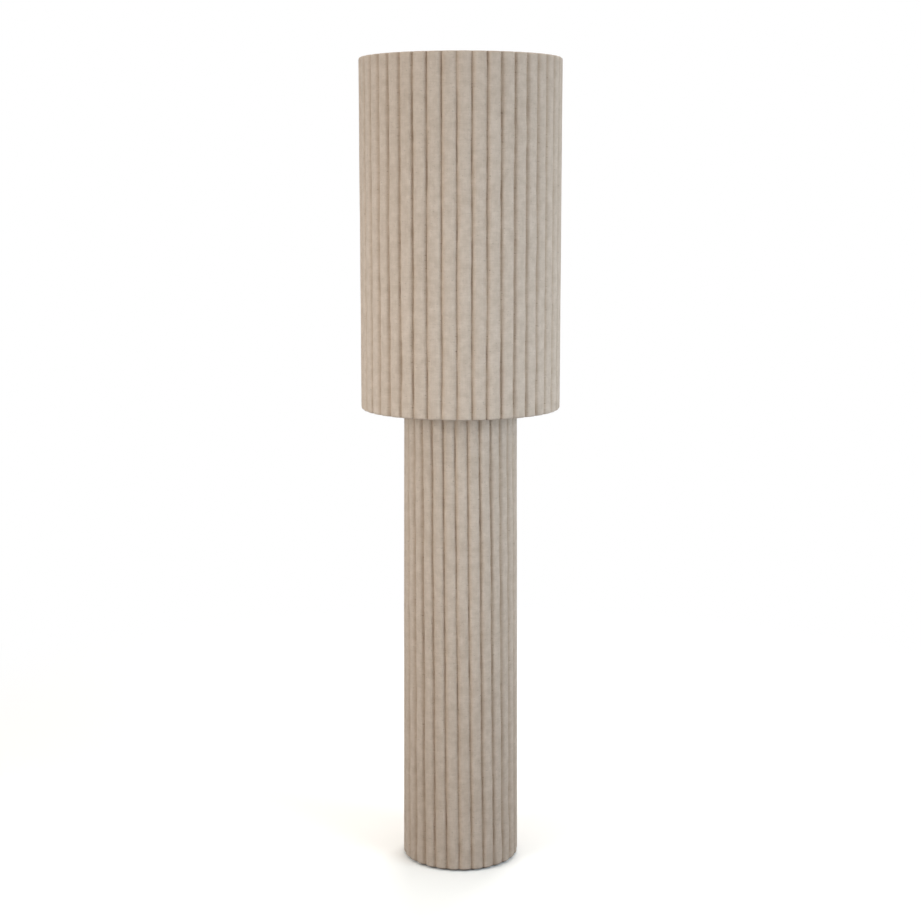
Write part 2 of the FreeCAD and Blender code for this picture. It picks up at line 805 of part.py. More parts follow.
def make_holder_cores():
    """The lead's two cores from its upper end up into the lampholder's terminals."""
    start = value_of("lead_top")
    into = value_of("holder_joint")
    straight = value_of("sizes.holder_core_straight")
    ends = []
    for side in SIDES:
        near = side * value_of("sizes.core_wire_spread / 2")
        far = side * value_of("sizes.insert_terminal_pitch / 2")
        ends.append((
            FreeCAD.Vector(0, near, start),
            FreeCAD.Vector(0, near, start + straight),
            FreeCAD.Vector(0, far, into - straight),
            FreeCAD.Vector(0, far, into + value_of("sizes.holder_core_entry")),
        ))
    return wire_pair("holder_cores", ends)


def arm_points():
    """An arm's path in the plane of its own angle: level from the hub, then down to the ring."""
    level = value_of("spider_middle")
    start = FreeCAD.Vector(value_of("sizes.spider_ring_diameter / 2 + sizes.seat_gap"), 0, level)
    elbow = FreeCAD.Vector(value_of("sizes.arm_elbow_radius"), 0, level)
    ring = FreeCAD.Vector(value_of("ring_circle"), 0, value_of("bottom_ring_height"))
    slope = (ring - elbow).normalize()
    end = ring - slope * value_of("wire_radius + sizes.seat_gap")
    return [start, elbow, end]


def arm_shapes(diameter):
    """The shade's arms, or with a larger diameter the slots that they pass through."""
    shape = round_wire(arm_points(), [value_of("sizes.arm_bend_radius")], diameter)[0]
    count = int(value_of("sizes.arm_count"))
    arms = []
    for index in range(count):
        arm = shape.copy()
        angle = value_of("sizes.arm_first_angle") + index * 360 / count
        arm.rotate(FreeCAD.Vector(0, 0, 0), FreeCAD.Vector(0, 0, 1), angle)
        arms.append(arm)
    return Part.Compound(arms)


# ---------------------------------------------------------------- column


def make_column_core():
    """The rolled sheet tube that carries the cover and the discs."""
    outside = frustum(
        "core_outside", "places.core_foot", "places.core_top", "places.base_low", "places.cap_low",
    )
    inside = frustum(
        "core_inside",
        "places.core_foot - sizes.core_wall - places.taper * sizes.tool_overrun",
        "places.core_top - sizes.core_wall + places.taper * sizes.tool_overrun",
        "places.base_low - sizes.tool_overrun",
        "places.cap_low + sizes.tool_overrun",
    )
    inlet = lying_rod(
        "core_inlet",
        "sizes.gland_body + 2 * sizes.slip_gap",
        "places.gland_start",
        "places.foot_crown",
        "sizes.inlet_height",
        "y",
    )
    low_holes = disc_screws("core_low_holes", "places.core_at_base_screw", "places.base_screw_height", True)
    top_holes = disc_screws("core_top_holes", "places.core_at_top_screw", "places.top_screw_height", True)
    return cut("column_core", outside, [inside, inlet, low_holes, top_holes])


def disc_screws(label, outside, height, hole=False):
    """Countersunk screws driven inwards through the core into a disc, or the holes for them."""
    gap = "sizes.seat_gap" if hole else "0"
    head = f"sizes.disc_screw_head / 2 + {gap}"
    shank = f"sizes.disc_screw_diameter / 2 + {gap}"
    end = f"{outside} - sizes.disc_screw_length - {gap}"
    outer = f"{outside} + sizes.tool_overrun" if hole else f"{outside} - sizes.seat_gap"
    neck = f"{outside} - sizes.seat_gap - sizes.disc_screw_head_height"
    outline = [(end, "0"), (end, shank), (neck, shank), (f"{outside} - sizes.seat_gap", head)]
    if hole:
        outline.append((outer, head))
    outline.append((outer, "0"))
    return turned_lying(label, outline, height, "sizes.disc_screw_count")


def make_base():
    """The base disc with its felt, the cast weight on it, the feet and their screws."""
    foot_holes = rod_circle(
        "foot_holes",
        "sizes.foot_screw_diameter + 2 * sizes.seat_gap",
        "places.felt_low - sizes.tool_overrun",
        "places.foot_screw_top + sizes.seat_gap",
        "places.foot_circle_radius",
        "sizes.foot_count",
        FOOT_ANGLE,
    )
    weight_holes = rod_circle(
        "weight_holes",
        "sizes.weight_screw_diameter + 2 * sizes.seat_gap",
        "places.weight_screw_low - sizes.seat_gap",
        "places.weight_top + sizes.tool_overrun",
        "places.weight_screw_circle_radius",
        "sizes.weight_screw_count",
        WEIGHT_SCREW_ANGLE,
    )
    felt = rod("felt_disc", "2 * places.felt_radius", "places.felt_low", "places.base_low")
    cut("base_felt", felt, [foot_holes])
    disc = rod("base_disc_round", "2 * places.base_disc_radius", "places.base_low", "places.base_top")
    side_holes = disc_screws("base_disc_holes", "places.core_at_base_screw", "places.base_screw_height", True)
    cut("base_disc", disc, [foot_holes, weight_holes, side_holes])
    disc_screws("base_disc_screws", "places.core_at_base_screw", "places.base_screw_height")

    weight = turned("counterweight_round", [
        ("0", "places.base_top"),
        ("places.weight_radius", "places.base_top"),
        ("places.weight_radius", "places.weight_top - sizes.weight_edge"),
        ("places.weight_radius - sizes.weight_edge", "places.weight_top"),
        ("0", "places.weight_top"),
    ])
    block_holes = block_screw_rods(
        "block_holes", "2 * sizes.seat_gap", "sizes.block_screw_depth + sizes.seat_gap",
    )
    cut("counterweight", weight, [weight_holes, block_holes])
    turned("weight_screws", [
        ("0", "places.weight_screw_low"),
        ("sizes.weight_screw_diameter / 2", "places.weight_screw_low"),
        ("sizes.weight_screw_diameter / 2", "places.weight_top"),
        ("sizes.weight_screw_head / 2", "places.weight_top"),
        ("sizes.weight_screw_head / 2", "places.weight_head_top - sizes.weight_screw_edge"),
        ("sizes.weight_screw_head / 2 - sizes.weight_screw_edge", "places.weight_head_top"),
        ("0", "places.weight_head_top"),
    ], "places.weight_screw_circle_radius", "sizes.weight_screw_count", WEIGHT_SCREW_ANGLE)

    turned("rubber_feet", [
        ("sizes.foot_screw_diameter / 2 + sizes.seat_gap", "places.foot_screw_low"),
        ("sizes.foot_screw_head / 2 + sizes.seat_gap", "places.foot_screw_low"),
        ("sizes.foot_screw_head / 2 + sizes.seat_gap", "0"),
        ("places.foot_radius - sizes.foot_edge", "0"),
        ("places.foot_radius", "sizes.foot_edge"),
        ("places.foot_radius - sizes.foot_draft", "places.felt_low"),
        ("sizes.foot_screw_diameter / 2 + sizes.seat_gap", "places.felt_low"),
    ], "places.foot_circle_radius", "sizes.foot_count", FOOT_ANGLE)
    turned("foot_screws", [
        ("0", "places.foot_head_low"),
        ("sizes.foot_screw_head / 2 - sizes.fine_chamfer", "places.foot_head_low"),
        ("sizes.foot_screw_head / 2", "places.foot_head_low + sizes.fine_chamfer"),
        ("sizes.foot_screw_head / 2", "places.foot_screw_low"),
        ("sizes.foot_screw_diameter / 2", "places.foot_screw_low"),
        ("sizes.foot_screw_diameter / 2", "places.foot_screw_top"),
        ("0", "places.foot_screw_top"),
    ], "places.foot_circle_radius", "sizes.foot_count", FOOT_ANGLE)


def block_screw_rods(label, extra, depth):
    """Two upright cylinders down the terminal block's middle line into the weight."""
    rods = []
    for index, side in enumerate(SIDES):
        rods.append(rod(
            f"{label}_{index + 1}",
            f"sizes.block_screw_diameter + {extra}",
            f"places.block_low - ({depth})",
            "places.block_top - sizes.block_screw_head_height",
            f"{side} * places.block_screw_offset",
            "places.block_middle",
        ))
    return together(label, rods)


def make_inlet():
    """The cord gland in the column's back, its nut, and the terminal block on the weight."""
    turned_lying("cord_gland", [
        ("places.gland_start", "sizes.gland_bore / 2"),
        ("places.gland_start", "sizes.gland_body / 2"),
        ("places.core_at_inlet + sizes.seat_gap", "sizes.gland_body / 2"),
        ("places.core_at_inlet + sizes.seat_gap", "sizes.gland_flange / 2"),
        ("places.flange_face - sizes.chamfer", "sizes.gland_flange / 2"),
        ("places.flange_face", "sizes.gland_flange / 2 - sizes.chamfer"),
        ("places.flange_face", "sizes.gland_nose / 2 + sizes.chamfer"),
        ("places.gland_end", "sizes.gland_nose / 2"),
        ("places.gland_end", "sizes.gland_bore / 2"),
    ], "sizes.inlet_height", first_angle=90)
    nut = hexagon(
        "gland_nut_prism", "sizes.gland_nut_width", "places.gland_nut_inner", "places.gland_nut_outer",
        "sizes.inlet_height",
    )
    nut_bore = lying_rod(
        "gland_nut_bore",
        "sizes.gland_body",
        "places.gland_nut_inner - sizes.tool_overrun",
        "places.gland_nut_outer + sizes.tool_overrun",
        "sizes.inlet_height",
        "y",
    )
    cut("gland_nut", nut, [nut_bore])

    block = document.addObject("Part::Box", "terminal_block_box")
    block.setExpression("Length", "sizes.block_width")
    block.setExpression("Width", "sizes.block_depth")
    block.setExpression("Height", "sizes.block_height")
    place(block, "-sizes.block_width / 2", "sizes.block_front", "places.block_low")
    tools = [block_screw_rods("block_screw_holes", "2 * sizes.seat_gap", "sizes.tool_overrun")]
    heads = []
    screws = []
    terminal_screws = []
    terminal_holes = []
    for index, side in enumerate(SIDES):
        tools.append(lying_rod(
            f"block_bore_{index + 1}",
            "sizes.block_bore",
            "sizes.block_front - sizes.tool_overrun",
            "places.block_back + sizes.tool_overrun",
            "places.block_wire_height",
            "y",
            f"{side} * places.pole_offset",
        ))
        at_x = f"{side} * places.block_screw_offset"
        head_low = "places.block_top - sizes.block_screw_head_height"
        heads.append(rod(
            f"block_head_hole_{index + 1}", "sizes.block_screw_head + 2 * sizes.seat_gap",
            head_low, "places.block_top + sizes.tool_overrun", at_x, "places.block_middle",
        ))
        shank = rod(
            f"block_screw_shank_{index + 1}", "sizes.block_screw_diameter",
            "places.block_low - sizes.block_screw_depth", head_low, at_x, "places.block_middle",
        )
        head = rod(
            f"block_screw_head_{index + 1}", "sizes.block_screw_head",
            head_low, "places.block_top", at_x, "places.block_middle",
        )
        screws.append(joined(f"block_screw_{index + 1}", shank, head))
        for row, share in enumerate(("0.25", "0.75")):
            name = f"{index + 1}_{row + 1}"
            at_pole = f"{side} * places.pole_offset"
            at_y = f"sizes.block_front + {share} * sizes.block_depth"
            low = "places.block_top - sizes.terminal_screw_length"
            terminal_screws.append(rod(
                f"terminal_screw_{name}", "sizes.terminal_screw_diameter",
                low, "places.block_top - sizes.terminal_screw_sink", at_pole, at_y,
            ))
            terminal_holes.append(rod(
                f"terminal_hole_{name}", "sizes.terminal_screw_diameter + 2 * sizes.seat_gap",
                "places.block_wire_height", "places.block_top + sizes.tool_overrun", at_pole, at_y,
            ))
    tools += [together("block_head_holes", heads), together("terminal_holes", terminal_holes)]
    cut("terminal_block", block, tools)
    together("block_screws", screws)
    together("terminal_screws", terminal_screws)


def make_top():
    """The top disc, its cap, and the threaded nipple with its nut, washer and neck tube."""
    nipple_hole = rod(
        "top_nipple_hole",
        "sizes.nipple_diameter + 2 * sizes.slip_gap",
        "places.top_disc_low - sizes.tool_overrun",
        "places.column_top + sizes.tool_overrun",
    )
    disc = rod("top_disc_round", "2 * places.top_disc_radius", "places.top_disc_low", "places.cap_low")
    side_holes = disc_screws("top_disc_holes", "places.core_at_top_screw", "places.top_screw_height", True)
    cut("top_disc", disc, [nipple_hole, side_holes])
    disc_screws("top_disc_screws", "places.core_at_top_screw", "places.top_screw_height")
    turned("top_cap", [
        ("places.nipple_radius + sizes.slip_gap", "places.cap_low"),
        ("places.cap_radius", "places.cap_low"),
        ("places.cap_radius", "places.column_top - sizes.top_cap_edge"),
        ("places.cap_radius - sizes.top_cap_edge", "places.column_top"),
        ("places.nipple_radius + sizes.slip_gap", "places.column_top"),
    ])
    nut = hexagon("nipple_nut_prism", "sizes.nut_width", "places.nut_low", "places.washer_low")
    nut_bore = rod(
        "nipple_nut_bore",
        "sizes.nipple_diameter",
        "places.nut_low - sizes.tool_overrun",
        "places.washer_low + sizes.tool_overrun",
    )
    cut("nipple_nut", nut, [nut_bore])
    turned("nipple_washer", [
        ("places.nipple_radius + sizes.seat_gap", "places.washer_low"),
        ("sizes.washer_diameter / 2", "places.washer_low"),
        ("sizes.washer_diameter / 2", "places.top_disc_low"),
        ("places.nipple_radius + sizes.seat_gap", "places.top_disc_low"),
    ])
    turned("nipple", [
        ("sizes.nipple_bore / 2", "places.nipple_low"),
        ("places.nipple_radius - sizes.fine_chamfer", "places.nipple_low"),
        ("places.nipple_radius", "places.nipple_low + sizes.fine_chamfer"),
        ("places.nipple_radius", "places.nipple_top - sizes.fine_chamfer"),
        ("places.nipple_radius - sizes.fine_chamfer", "places.nipple_top"),
        ("sizes.nipple_bore / 2", "places.nipple_top"),
    ])
    turned("neck_tube", [
        ("places.nipple_radius + sizes.seat_gap", "places.neck_low"),
        ("sizes.neck_diameter / 2 - sizes.neck_edge", "places.neck_low"),
        ("sizes.neck_diameter / 2", "places.neck_low + sizes.neck_edge"),
        ("sizes.neck_diameter / 2", "places.holder_low - sizes.neck_edge"),
        ("sizes.neck_diameter / 2 - sizes.neck_edge", "places.holder_low"),
        ("places.nipple_radius + sizes.seat_gap", "places.holder_low"),
    ])


# ---------------------------------------------------------------- lampholder and switch


def make_lampholder():
    """The cap with its switch boss, the ceramic insert and contacts, and the threaded skirt."""
    outside = turned("holder_cap_outside", [
        ("0", "places.holder_low"),
        ("places.collar_radius", "places.holder_low"),
        ("places.collar_radius", "places.collar_top"),
        ("places.cap_side_radius - sizes.holder_shoulder_inset", "places.cap_side_low"),
        ("places.cap_side_radius", "places.cap_side_low + sizes.holder_shoulder_round"),
        ("places.cap_side_radius", "places.holder_joint"),
        ("0", "places.holder_joint"),
    ])
    boss = lying_rod(
        "switch_boss", "sizes.switch_boss_diameter", "places.nipple_radius + sizes.switch_boss_inset",
        "places.boss_end", "places.switch_axis", "x",
    )
    body = joined("holder_cap_body", outside, boss)
    hollow = turned("holder_cap_hollow", [
        ("0", "places.holder_low - sizes.tool_overrun"),
        ("places.nipple_radius", "places.holder_low - sizes.tool_overrun"),
        ("places.nipple_radius", "places.nipple_top"),
        ("places.nipple_radius + sizes.switch_boss_inset", "places.cap_hollow_low"),
        ("places.cap_hollow_radius", "places.cap_hollow_low + sizes.holder_hollow_corner"),
        ("places.cap_hollow_radius", "places.holder_joint + sizes.tool_overrun"),
        ("0", "places.holder_joint + sizes.tool_overrun"),
    ])
    switch_room = lying_rod(
        "switch_room", "sizes.switch_block_diameter + 2 * sizes.seat_gap",
        "sizes.switch_block_start - sizes.seat_gap", "places.boss_end - sizes.switch_boss_wall",
        "places.switch_axis", "x",
    )
    spindle_hole = lying_rod(
        "spindle_hole", "sizes.spindle_diameter + 2 * sizes.spindle_running_gap",
        "sizes.spindle_start", "places.boss_end + sizes.tool_overrun", "places.switch_axis", "x",
    )
    grub_height = "places.holder_low + sizes.holder_collar_height / 2"
    grub_hole = lying_rod(
        "grub_hole", "sizes.grub_diameter + 2 * sizes.seat_gap",
        "-places.collar_radius - sizes.tool_overrun", "-places.nipple_radius / 2", grub_height, "x",
    )
    cut("holder_cap", body, [hollow, switch_room, spindle_hole, grub_hole])
    lying_rod(
        "grub_screw", "sizes.grub_diameter",
        "-places.nipple_radius - sizes.seat_gap - sizes.grub_length",
        "-places.nipple_radius - sizes.seat_gap", grub_height, "x",
    )
    switch_solid = lying_rod(
        "switch_block_round", "sizes.switch_block_diameter", "sizes.switch_block_start",
        "places.boss_end - sizes.switch_boss_wall - sizes.seat_gap", "places.switch_axis", "x",
    )
    spindle_room = lying_rod(
        "switch_block_room", "sizes.spindle_diameter + 2 * sizes.slip_gap",
        "sizes.spindle_start - sizes.slip_gap", "places.boss_end", "places.switch_axis", "x",
    )
    cut("switch_block", switch_solid, [spindle_room])

    turned("holder_skirt", [
        ("places.skirt_bore", "places.holder_joint"),
        ("places.cap_side_radius", "places.holder_joint"),
        ("places.cap_side_radius", "places.flange_low"),
        ("places.flange_radius", "places.flange_low"),
        ("places.flange_radius", "places.flange_top"),
        ("places.skirt_radius", "places.flange_top"),
        ("places.skirt_radius", "places.skirt_top - sizes.chamfer"),
        ("places.skirt_radius - sizes.chamfer", "places.skirt_top"),
        ("places.skirt_bore", "places.skirt_top"),
    ])
    insert = rod("insert_round", "2 * places.insert_radius", "places.holder_joint", "places.insert_top")
    terminals = []
    for index, side in enumerate(SIDES):
        terminals.append(rod(
            f"insert_terminal_{index + 1}", "sizes.insert_terminal_bore",
            "places.holder_joint - sizes.tool_overrun", "places.holder_joint + sizes.insert_terminal_depth",
            "0", f"{side} * sizes.insert_terminal_pitch / 2",
        ))
    screw_low = "places.holder_joint + sizes.insert_screw_start"
    screw_high = "places.insert_top - sizes.insert_screw_sink"
    insert_holes = rod_circle(
        "insert_holes", "sizes.insert_screw_diameter + 2 * sizes.seat_gap", screw_low,
        "places.insert_top + sizes.tool_overrun", "sizes.insert_screw_circle / 2", "2", 0,
    )
    cut("holder_insert", insert, [together("insert_terminals", terminals), insert_holes])
    rod_circle(
        "holder_screws", "sizes.insert_screw_diameter", f"{screw_low} + sizes.seat_gap", screw_high,
        "sizes.insert_screw_circle / 2", "2", 0,
    )
    turned("centre_contact", [
        ("0", "places.insert_top"),
        ("sizes.centre_contact_diameter / 2", "places.insert_top"),
        ("sizes.centre_contact_diameter / 2", "places.contact_top - sizes.contact_rim"),
        ("sizes.centre_contact_diameter / 2 - sizes.contact_dome", "places.contact_top"),
        ("0", "places.contact_top"),
    ])
    turned("screw_shell", [
        ("places.shell_bore_radius", "places.insert_top"),
        ("places.shell_radius", "places.insert_top"),
        ("places.shell_radius", "places.shell_top"),
        ("places.shell_bore_radius", "places.shell_top"),
    ])


def make_switch():
    """The rotary switch's spindle and its fluted knob."""
    turned_lying("switch_spindle", [
        ("sizes.spindle_start", "0"),
        ("sizes.spindle_start", "sizes.spindle_diameter / 2"),
        ("places.spindle_end - sizes.fine_chamfer", "sizes.spindle_diameter / 2"),
        ("places.spindle_end", "sizes.spindle_diameter / 2 - sizes.fine_chamfer"),
        ("places.spindle_end", "0"),
    ], "places.switch_axis")
    solid = turned_lying("knob_round", [
        ("places.knob_start", "0"),
        ("places.knob_start", "places.knob_radius"),
        ("places.knob_end - sizes.knob_edge", "places.knob_radius - sizes.knob_taper"),
        ("places.knob_end", "places.knob_radius - sizes.knob_taper - sizes.knob_edge"),
        ("places.knob_end", "0"),
    ], "places.switch_axis")
    bore = lying_rod(
        "knob_bore", "sizes.spindle_diameter + 2 * sizes.seat_gap", "places.knob_start - sizes.tool_overrun",
        "places.spindle_end + sizes.seat_gap", "places.switch_axis", "x",
    )
    flutes = []
    for index in range(int(value_of("sizes.knob_flute_count"))):
        angle = f"{index} * 360 deg / sizes.knob_flute_count"
        reach = "(places.knob_radius + sizes.knob_flute_offset)"
        flutes.append(lying_rod(
            f"knob_flute_{index + 1}", "sizes.knob_flute_diameter",
            "places.knob_start + sizes.knob_flute_start", "places.knob_end + sizes.tool_overrun",
            f"places.switch_axis + {reach} * sin({angle})", "x", f"{reach} * cos({angle})",
        ))
    cut("switch_knob", solid, [bore, together("knob_flutes", flutes)])


def make_bulb():
    """A screw-cap lamp bulb with an opal globe on a white housing."""
    turned("bulb_contact", [
        ("0", "places.bulb_low"),
        ("sizes.bulb_contact_diameter / 2 - sizes.contact_dome", "places.bulb_low"),
        ("sizes.bulb_contact_diameter / 2", "places.insulator_low - sizes.contact_rim"),
        ("sizes.bulb_contact_diameter / 2", "places.insulator_low"),
        ("0", "places.insulator_low"),
    ])
    turned("bulb_insulator", [
        ("0", "places.insulator_low"),
        ("sizes.bulb_contact_diameter / 2 + sizes.bulb_insulator_lip", "places.insulator_low"),
        ("places.bulb_cap_radius - sizes.bulb_insulator_inset", "places.bulb_cap_low"),
        ("0", "places.bulb_cap_low"),
    ])
    turned("bulb_cap", [
        ("0", "places.bulb_cap_low"),
        ("places.bulb_cap_radius - sizes.chamfer", "places.bulb_cap_low"),
        ("places.bulb_cap_radius", "places.bulb_cap_low + sizes.chamfer"),
        ("places.bulb_cap_radius", "places.housing_low"),
        ("places.bulb_cap_radius - sizes.bulb_cap_wall", "places.housing_low"),
        ("places.bulb_cap_radius - sizes.bulb_cap_wall", "places.bulb_cap_low + sizes.bulb_cap_wall"),
        ("0", "places.bulb_cap_low + sizes.bulb_cap_wall"),
    ])
    turned("bulb_housing", [
        ("0", "places.housing_low"),
        ("places.housing_neck", "places.housing_low"),
        ("places.housing_shoulder", "places.housing_low + sizes.housing_neck_height"),
        ("places.globe_mouth + sizes.housing_wall", "places.housing_top"),
        ("places.globe_mouth", "places.housing_top"),
        ("places.housing_shoulder - sizes.housing_wall", "places.housing_low + sizes.housing_neck_height"),
        ("places.housing_neck - sizes.housing_wall", "places.housing_low + sizes.housing_wall"),
        ("0", "places.housing_low + sizes.housing_wall"),
    ])
    ball = document.addObject("Part::Sphere", "globe_ball")
    ball.setExpression("Radius", "places.globe_radius")
    place(ball, at_z="places.globe_centre")
    hollow = document.addObject("Part::Sphere", "globe_hollow")
    hollow.setExpression("Radius", "places.globe_radius - sizes.globe_wall")
    place(hollow, at_z="places.globe_centre")
    below = rod(
        "globe_below", "sizes.bulb_diameter + 2 * sizes.tool_overrun",
        "places.globe_centre - places.globe_radius - sizes.tool_overrun", "places.housing_top",
    )
    cut("bulb_globe", ball, [hollow, below])
    board_radius = "places.globe_mouth - sizes.globe_wall - sizes.slip_gap"
    turned("led_board", [
        ("0", "places.housing_top - sizes.led_board_thickness"),
        (f"{board_radius} - sizes.chamfer", "places.housing_top - sizes.led_board_thickness"),
        (board_radius, "places.housing_top"),
        ("0", "places.housing_top"),
    ])


# ---------------------------------------------------------------- shade


def make_shade():
    """The shade's liner, its two wire rings and hems, and the spider that seats on the holder."""
    turned("shade_liner", [
        ("places.liner_bore", "places.liner_low"),
        ("places.liner_radius", "places.liner_low"),
        ("places.liner_radius", "places.liner_top"),
        ("places.liner_bore", "places.liner_top"),
    ])
    for label, height in (("shade_top_ring", "top_ring_height"), ("shade_bottom_ring", "bottom_ring_height")):
        ring = document.addObject("Part::Torus", label)
        ring.setExpression("Radius1", "places.ring_circle")
        ring.setExpression("Radius2", "places.wire_radius")
        place(ring, at_z=f"places.{height}")
    turned("top_hem", [
        ("places.hem_inner", "places.hem_top - sizes.hem_leg"),
        ("places.hem_outer", "places.hem_top - sizes.hem_leg"),
        ("places.hem_outer", "places.hem_top - sizes.hem_thickness"),
        ("places.liner_radius", "places.hem_top - sizes.hem_thickness"),
        ("places.liner_radius", "places.hem_top"),
        ("places.hem_inner", "places.hem_top"),
    ])
    hem = turned("bottom_hem_round", [
        ("places.hem_inner", "places.hem_low"),
        ("places.liner_radius", "places.hem_low"),
        ("places.liner_radius", "places.hem_low + sizes.hem_thickness"),
        ("places.hem_outer", "places.hem_low + sizes.hem_thickness"),
        ("places.hem_outer", "places.hem_low + sizes.hem_leg"),
        ("places.hem_inner", "places.hem_low + sizes.hem_leg"),
    ])
    slots = loose("arm_slots", arm_shapes(value_of("sizes.arm_wire_diameter + 2 * sizes.arm_slot_gap")))
    cut("bottom_hem", hem, [slots])
    loose("spider_arms", arm_shapes(value_of("sizes.arm_wire_diameter")))
    turned("spider_ring", [
        ("sizes.spider_ring_bore / 2", "places.spider_low"),
        ("sizes.spider_ring_diameter / 2", "places.spider_low"),
        ("sizes.spider_ring_diameter / 2", "places.spider_top"),
        ("sizes.spider_ring_bore / 2", "places.spider_top"),
    ])
    ring = turned("clamp_ring_round", [
        ("places.skirt_radius + sizes.clamp_ring_running_gap", "places.clamp_low"),
        ("places.clamp_radius", "places.clamp_low"),
        ("places.clamp_radius", "places.clamp_top - sizes.clamp_ring_edge"),
        ("places.clamp_radius - sizes.clamp_ring_edge", "places.clamp_top"),
        ("places.skirt_radius + sizes.clamp_ring_running_gap", "places.clamp_top"),
    ])
    notches = rod_circle(
        "clamp_notches", "sizes.clamp_notch_diameter", "places.clamp_low + sizes.clamp_notch_start",
        "places.clamp_top + sizes.tool_overrun", "(places.clamp_radius + sizes.clamp_notch_offset)",
        "sizes.clamp_notch_count", 0,
    )
    cut("shade_clamp_ring", ring, [notches])


# ---------------------------------------------------------------- the lamp

NODES = [
    "column_cover", "column_core", "base_felt", "base_disc", "counterweight", "weight_screws",
    "rubber_feet", "foot_screws", "base_disc_screws", "top_disc", "top_disc_screws", "top_cap",
    "cord_gland", "gland_nut", "terminal_block", "terminal_screws", "block_screws", "block_cores",
    "inner_lead", "holder_cores", "nipple", "nipple_nut", "nipple_washer", "neck_tube",
    "holder_cap", "grub_screw", "switch_block", "holder_insert", "holder_screws", "centre_contact",
    "screw_shell", "holder_skirt",
    "shade_cover", "shade_liner", "shade_top_ring", "shade_bottom_ring", "top_hem", "bottom_hem",
    "spider_arms", "spider_ring", "shade_clamp_ring",
    "bulb_globe", "bulb_housing", "led_board", "bulb_cap", "bulb_insulator", "bulb_contact",
    "switch_knob", "switch_spindle",
]

make_column_cover()
make_column_core()
make_base()
make_inlet()
make_top()
make_inner_lead()
make_block_cores()
make_holder_cores()
make_lampholder()
make_switch()
make_shade_cover()
make_shade()
make_bulb()
document.recompute()

for item in document.Objects:
    if "Invalid" in item.State or "Error" in item.State:
        raise SystemExit(f"{item.Label} could not be worked out: {item.State}")

os.makedirs("parts", exist_ok=True)
for name in NODES:
    piece = document.getObject(name)
    if piece.Shape.isNull() or not piece.Shape.isValid() or piece.Shape.Volume <= 0:
        raise SystemExit(f"{name} has no sound shape")
    piece.Label = name
for name in NODES:
    document.getObject(name).Shape.exportStep(f"parts/{name}.step")
    print(name, len(document.getObject(name).Shape.Solids), "solids")
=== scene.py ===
"""Looks of the column floor lamp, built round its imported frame.

Metres, +Z up, the front is -Y. A drum shade stands over a narrower column, and both wear a padded
linen cover sewn into upright ribs.
"""

import functools
import json
import math

import bmesh
import bpy
from mathutils import Matrix, Vector, noise


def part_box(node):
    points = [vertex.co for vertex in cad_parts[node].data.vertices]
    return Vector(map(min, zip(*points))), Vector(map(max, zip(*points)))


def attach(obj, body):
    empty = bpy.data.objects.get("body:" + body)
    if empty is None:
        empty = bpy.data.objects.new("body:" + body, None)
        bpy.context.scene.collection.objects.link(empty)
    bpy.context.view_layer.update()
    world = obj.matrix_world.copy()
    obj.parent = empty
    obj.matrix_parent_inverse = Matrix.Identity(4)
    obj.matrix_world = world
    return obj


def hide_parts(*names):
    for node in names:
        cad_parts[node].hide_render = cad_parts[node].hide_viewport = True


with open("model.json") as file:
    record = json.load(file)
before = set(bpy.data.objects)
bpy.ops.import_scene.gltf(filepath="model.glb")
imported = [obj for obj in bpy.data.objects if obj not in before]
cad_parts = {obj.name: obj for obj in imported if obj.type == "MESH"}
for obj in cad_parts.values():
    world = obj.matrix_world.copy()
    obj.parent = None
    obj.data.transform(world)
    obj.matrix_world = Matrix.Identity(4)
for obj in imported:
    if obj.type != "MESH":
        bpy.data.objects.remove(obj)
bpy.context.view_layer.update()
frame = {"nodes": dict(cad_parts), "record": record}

TURN = 2 * math.pi
MM = 0.001

# The ribbed covers. Angles are from the front, in degrees, anticlockwise seen from above.
SHADE_RIBS = 43
SHADE_CHANNEL = -2.1
COLUMN_RIBS = 29
COLUMN_CHANNEL_AT_FOOT = -1.4
COLUMN_CHANNEL_AT_TOP = -5.9
RIB_DEPTH = 4.5 * MM
RIB_CROWN_RISE = 0.8 * MM
CHANNEL_REACH = 3.2 * MM  # from the seam to where the padding has risen by two thirds
SEAM_DEPTH = 0.2  # the share of the rib's depth that the stitches pull in sharply
SEAM_REACH = 0.5 * MM
RIB_END_ROUND = 3.2 * MM
RIB_END_FOLD = 0.9 * MM
ROUND_STEPS = 5
FOLD_STEPS = 2
RIB_STATIONS = (0.0, 0.024, 0.055, 0.092, 0.138, 0.205, 0.325, 0.5)  # from the seam, as shares of a rib
ROW_HEIGHT = 4.2 * MM
BACKING_ROWS = 6
PUCKER_SHARE = 0.15  # the share of a rib that a pucker at its seam reaches over

# Where each cover starts in the noise
SHADE_SEED = 3.0
COLUMN_SEED = 11.0

# How the sewing strays along a channel: (place in the noise, length of a wave, amount)
LONG_STRAY = (0, 120 * MM, 0.9 * MM)
SHORT_STRAY = (40, 22 * MM, 0.35 * MM)
REACH_CHANGE = (80, 45 * MM, 0.5)
DEPTH_CHANGE = (120, 35 * MM, 0.3)
PUCKER = (160, 8 * MM, 0.5 * MM)
UNEVEN_PADDING = (200, 90 * MM, 0.35 * MM)

# Round the cord inlet at the back
PRESSED_PADDING = 2.2 * MM
DIMPLE_EASE = 9 * MM
INLET_GAP = 0.3 * MM

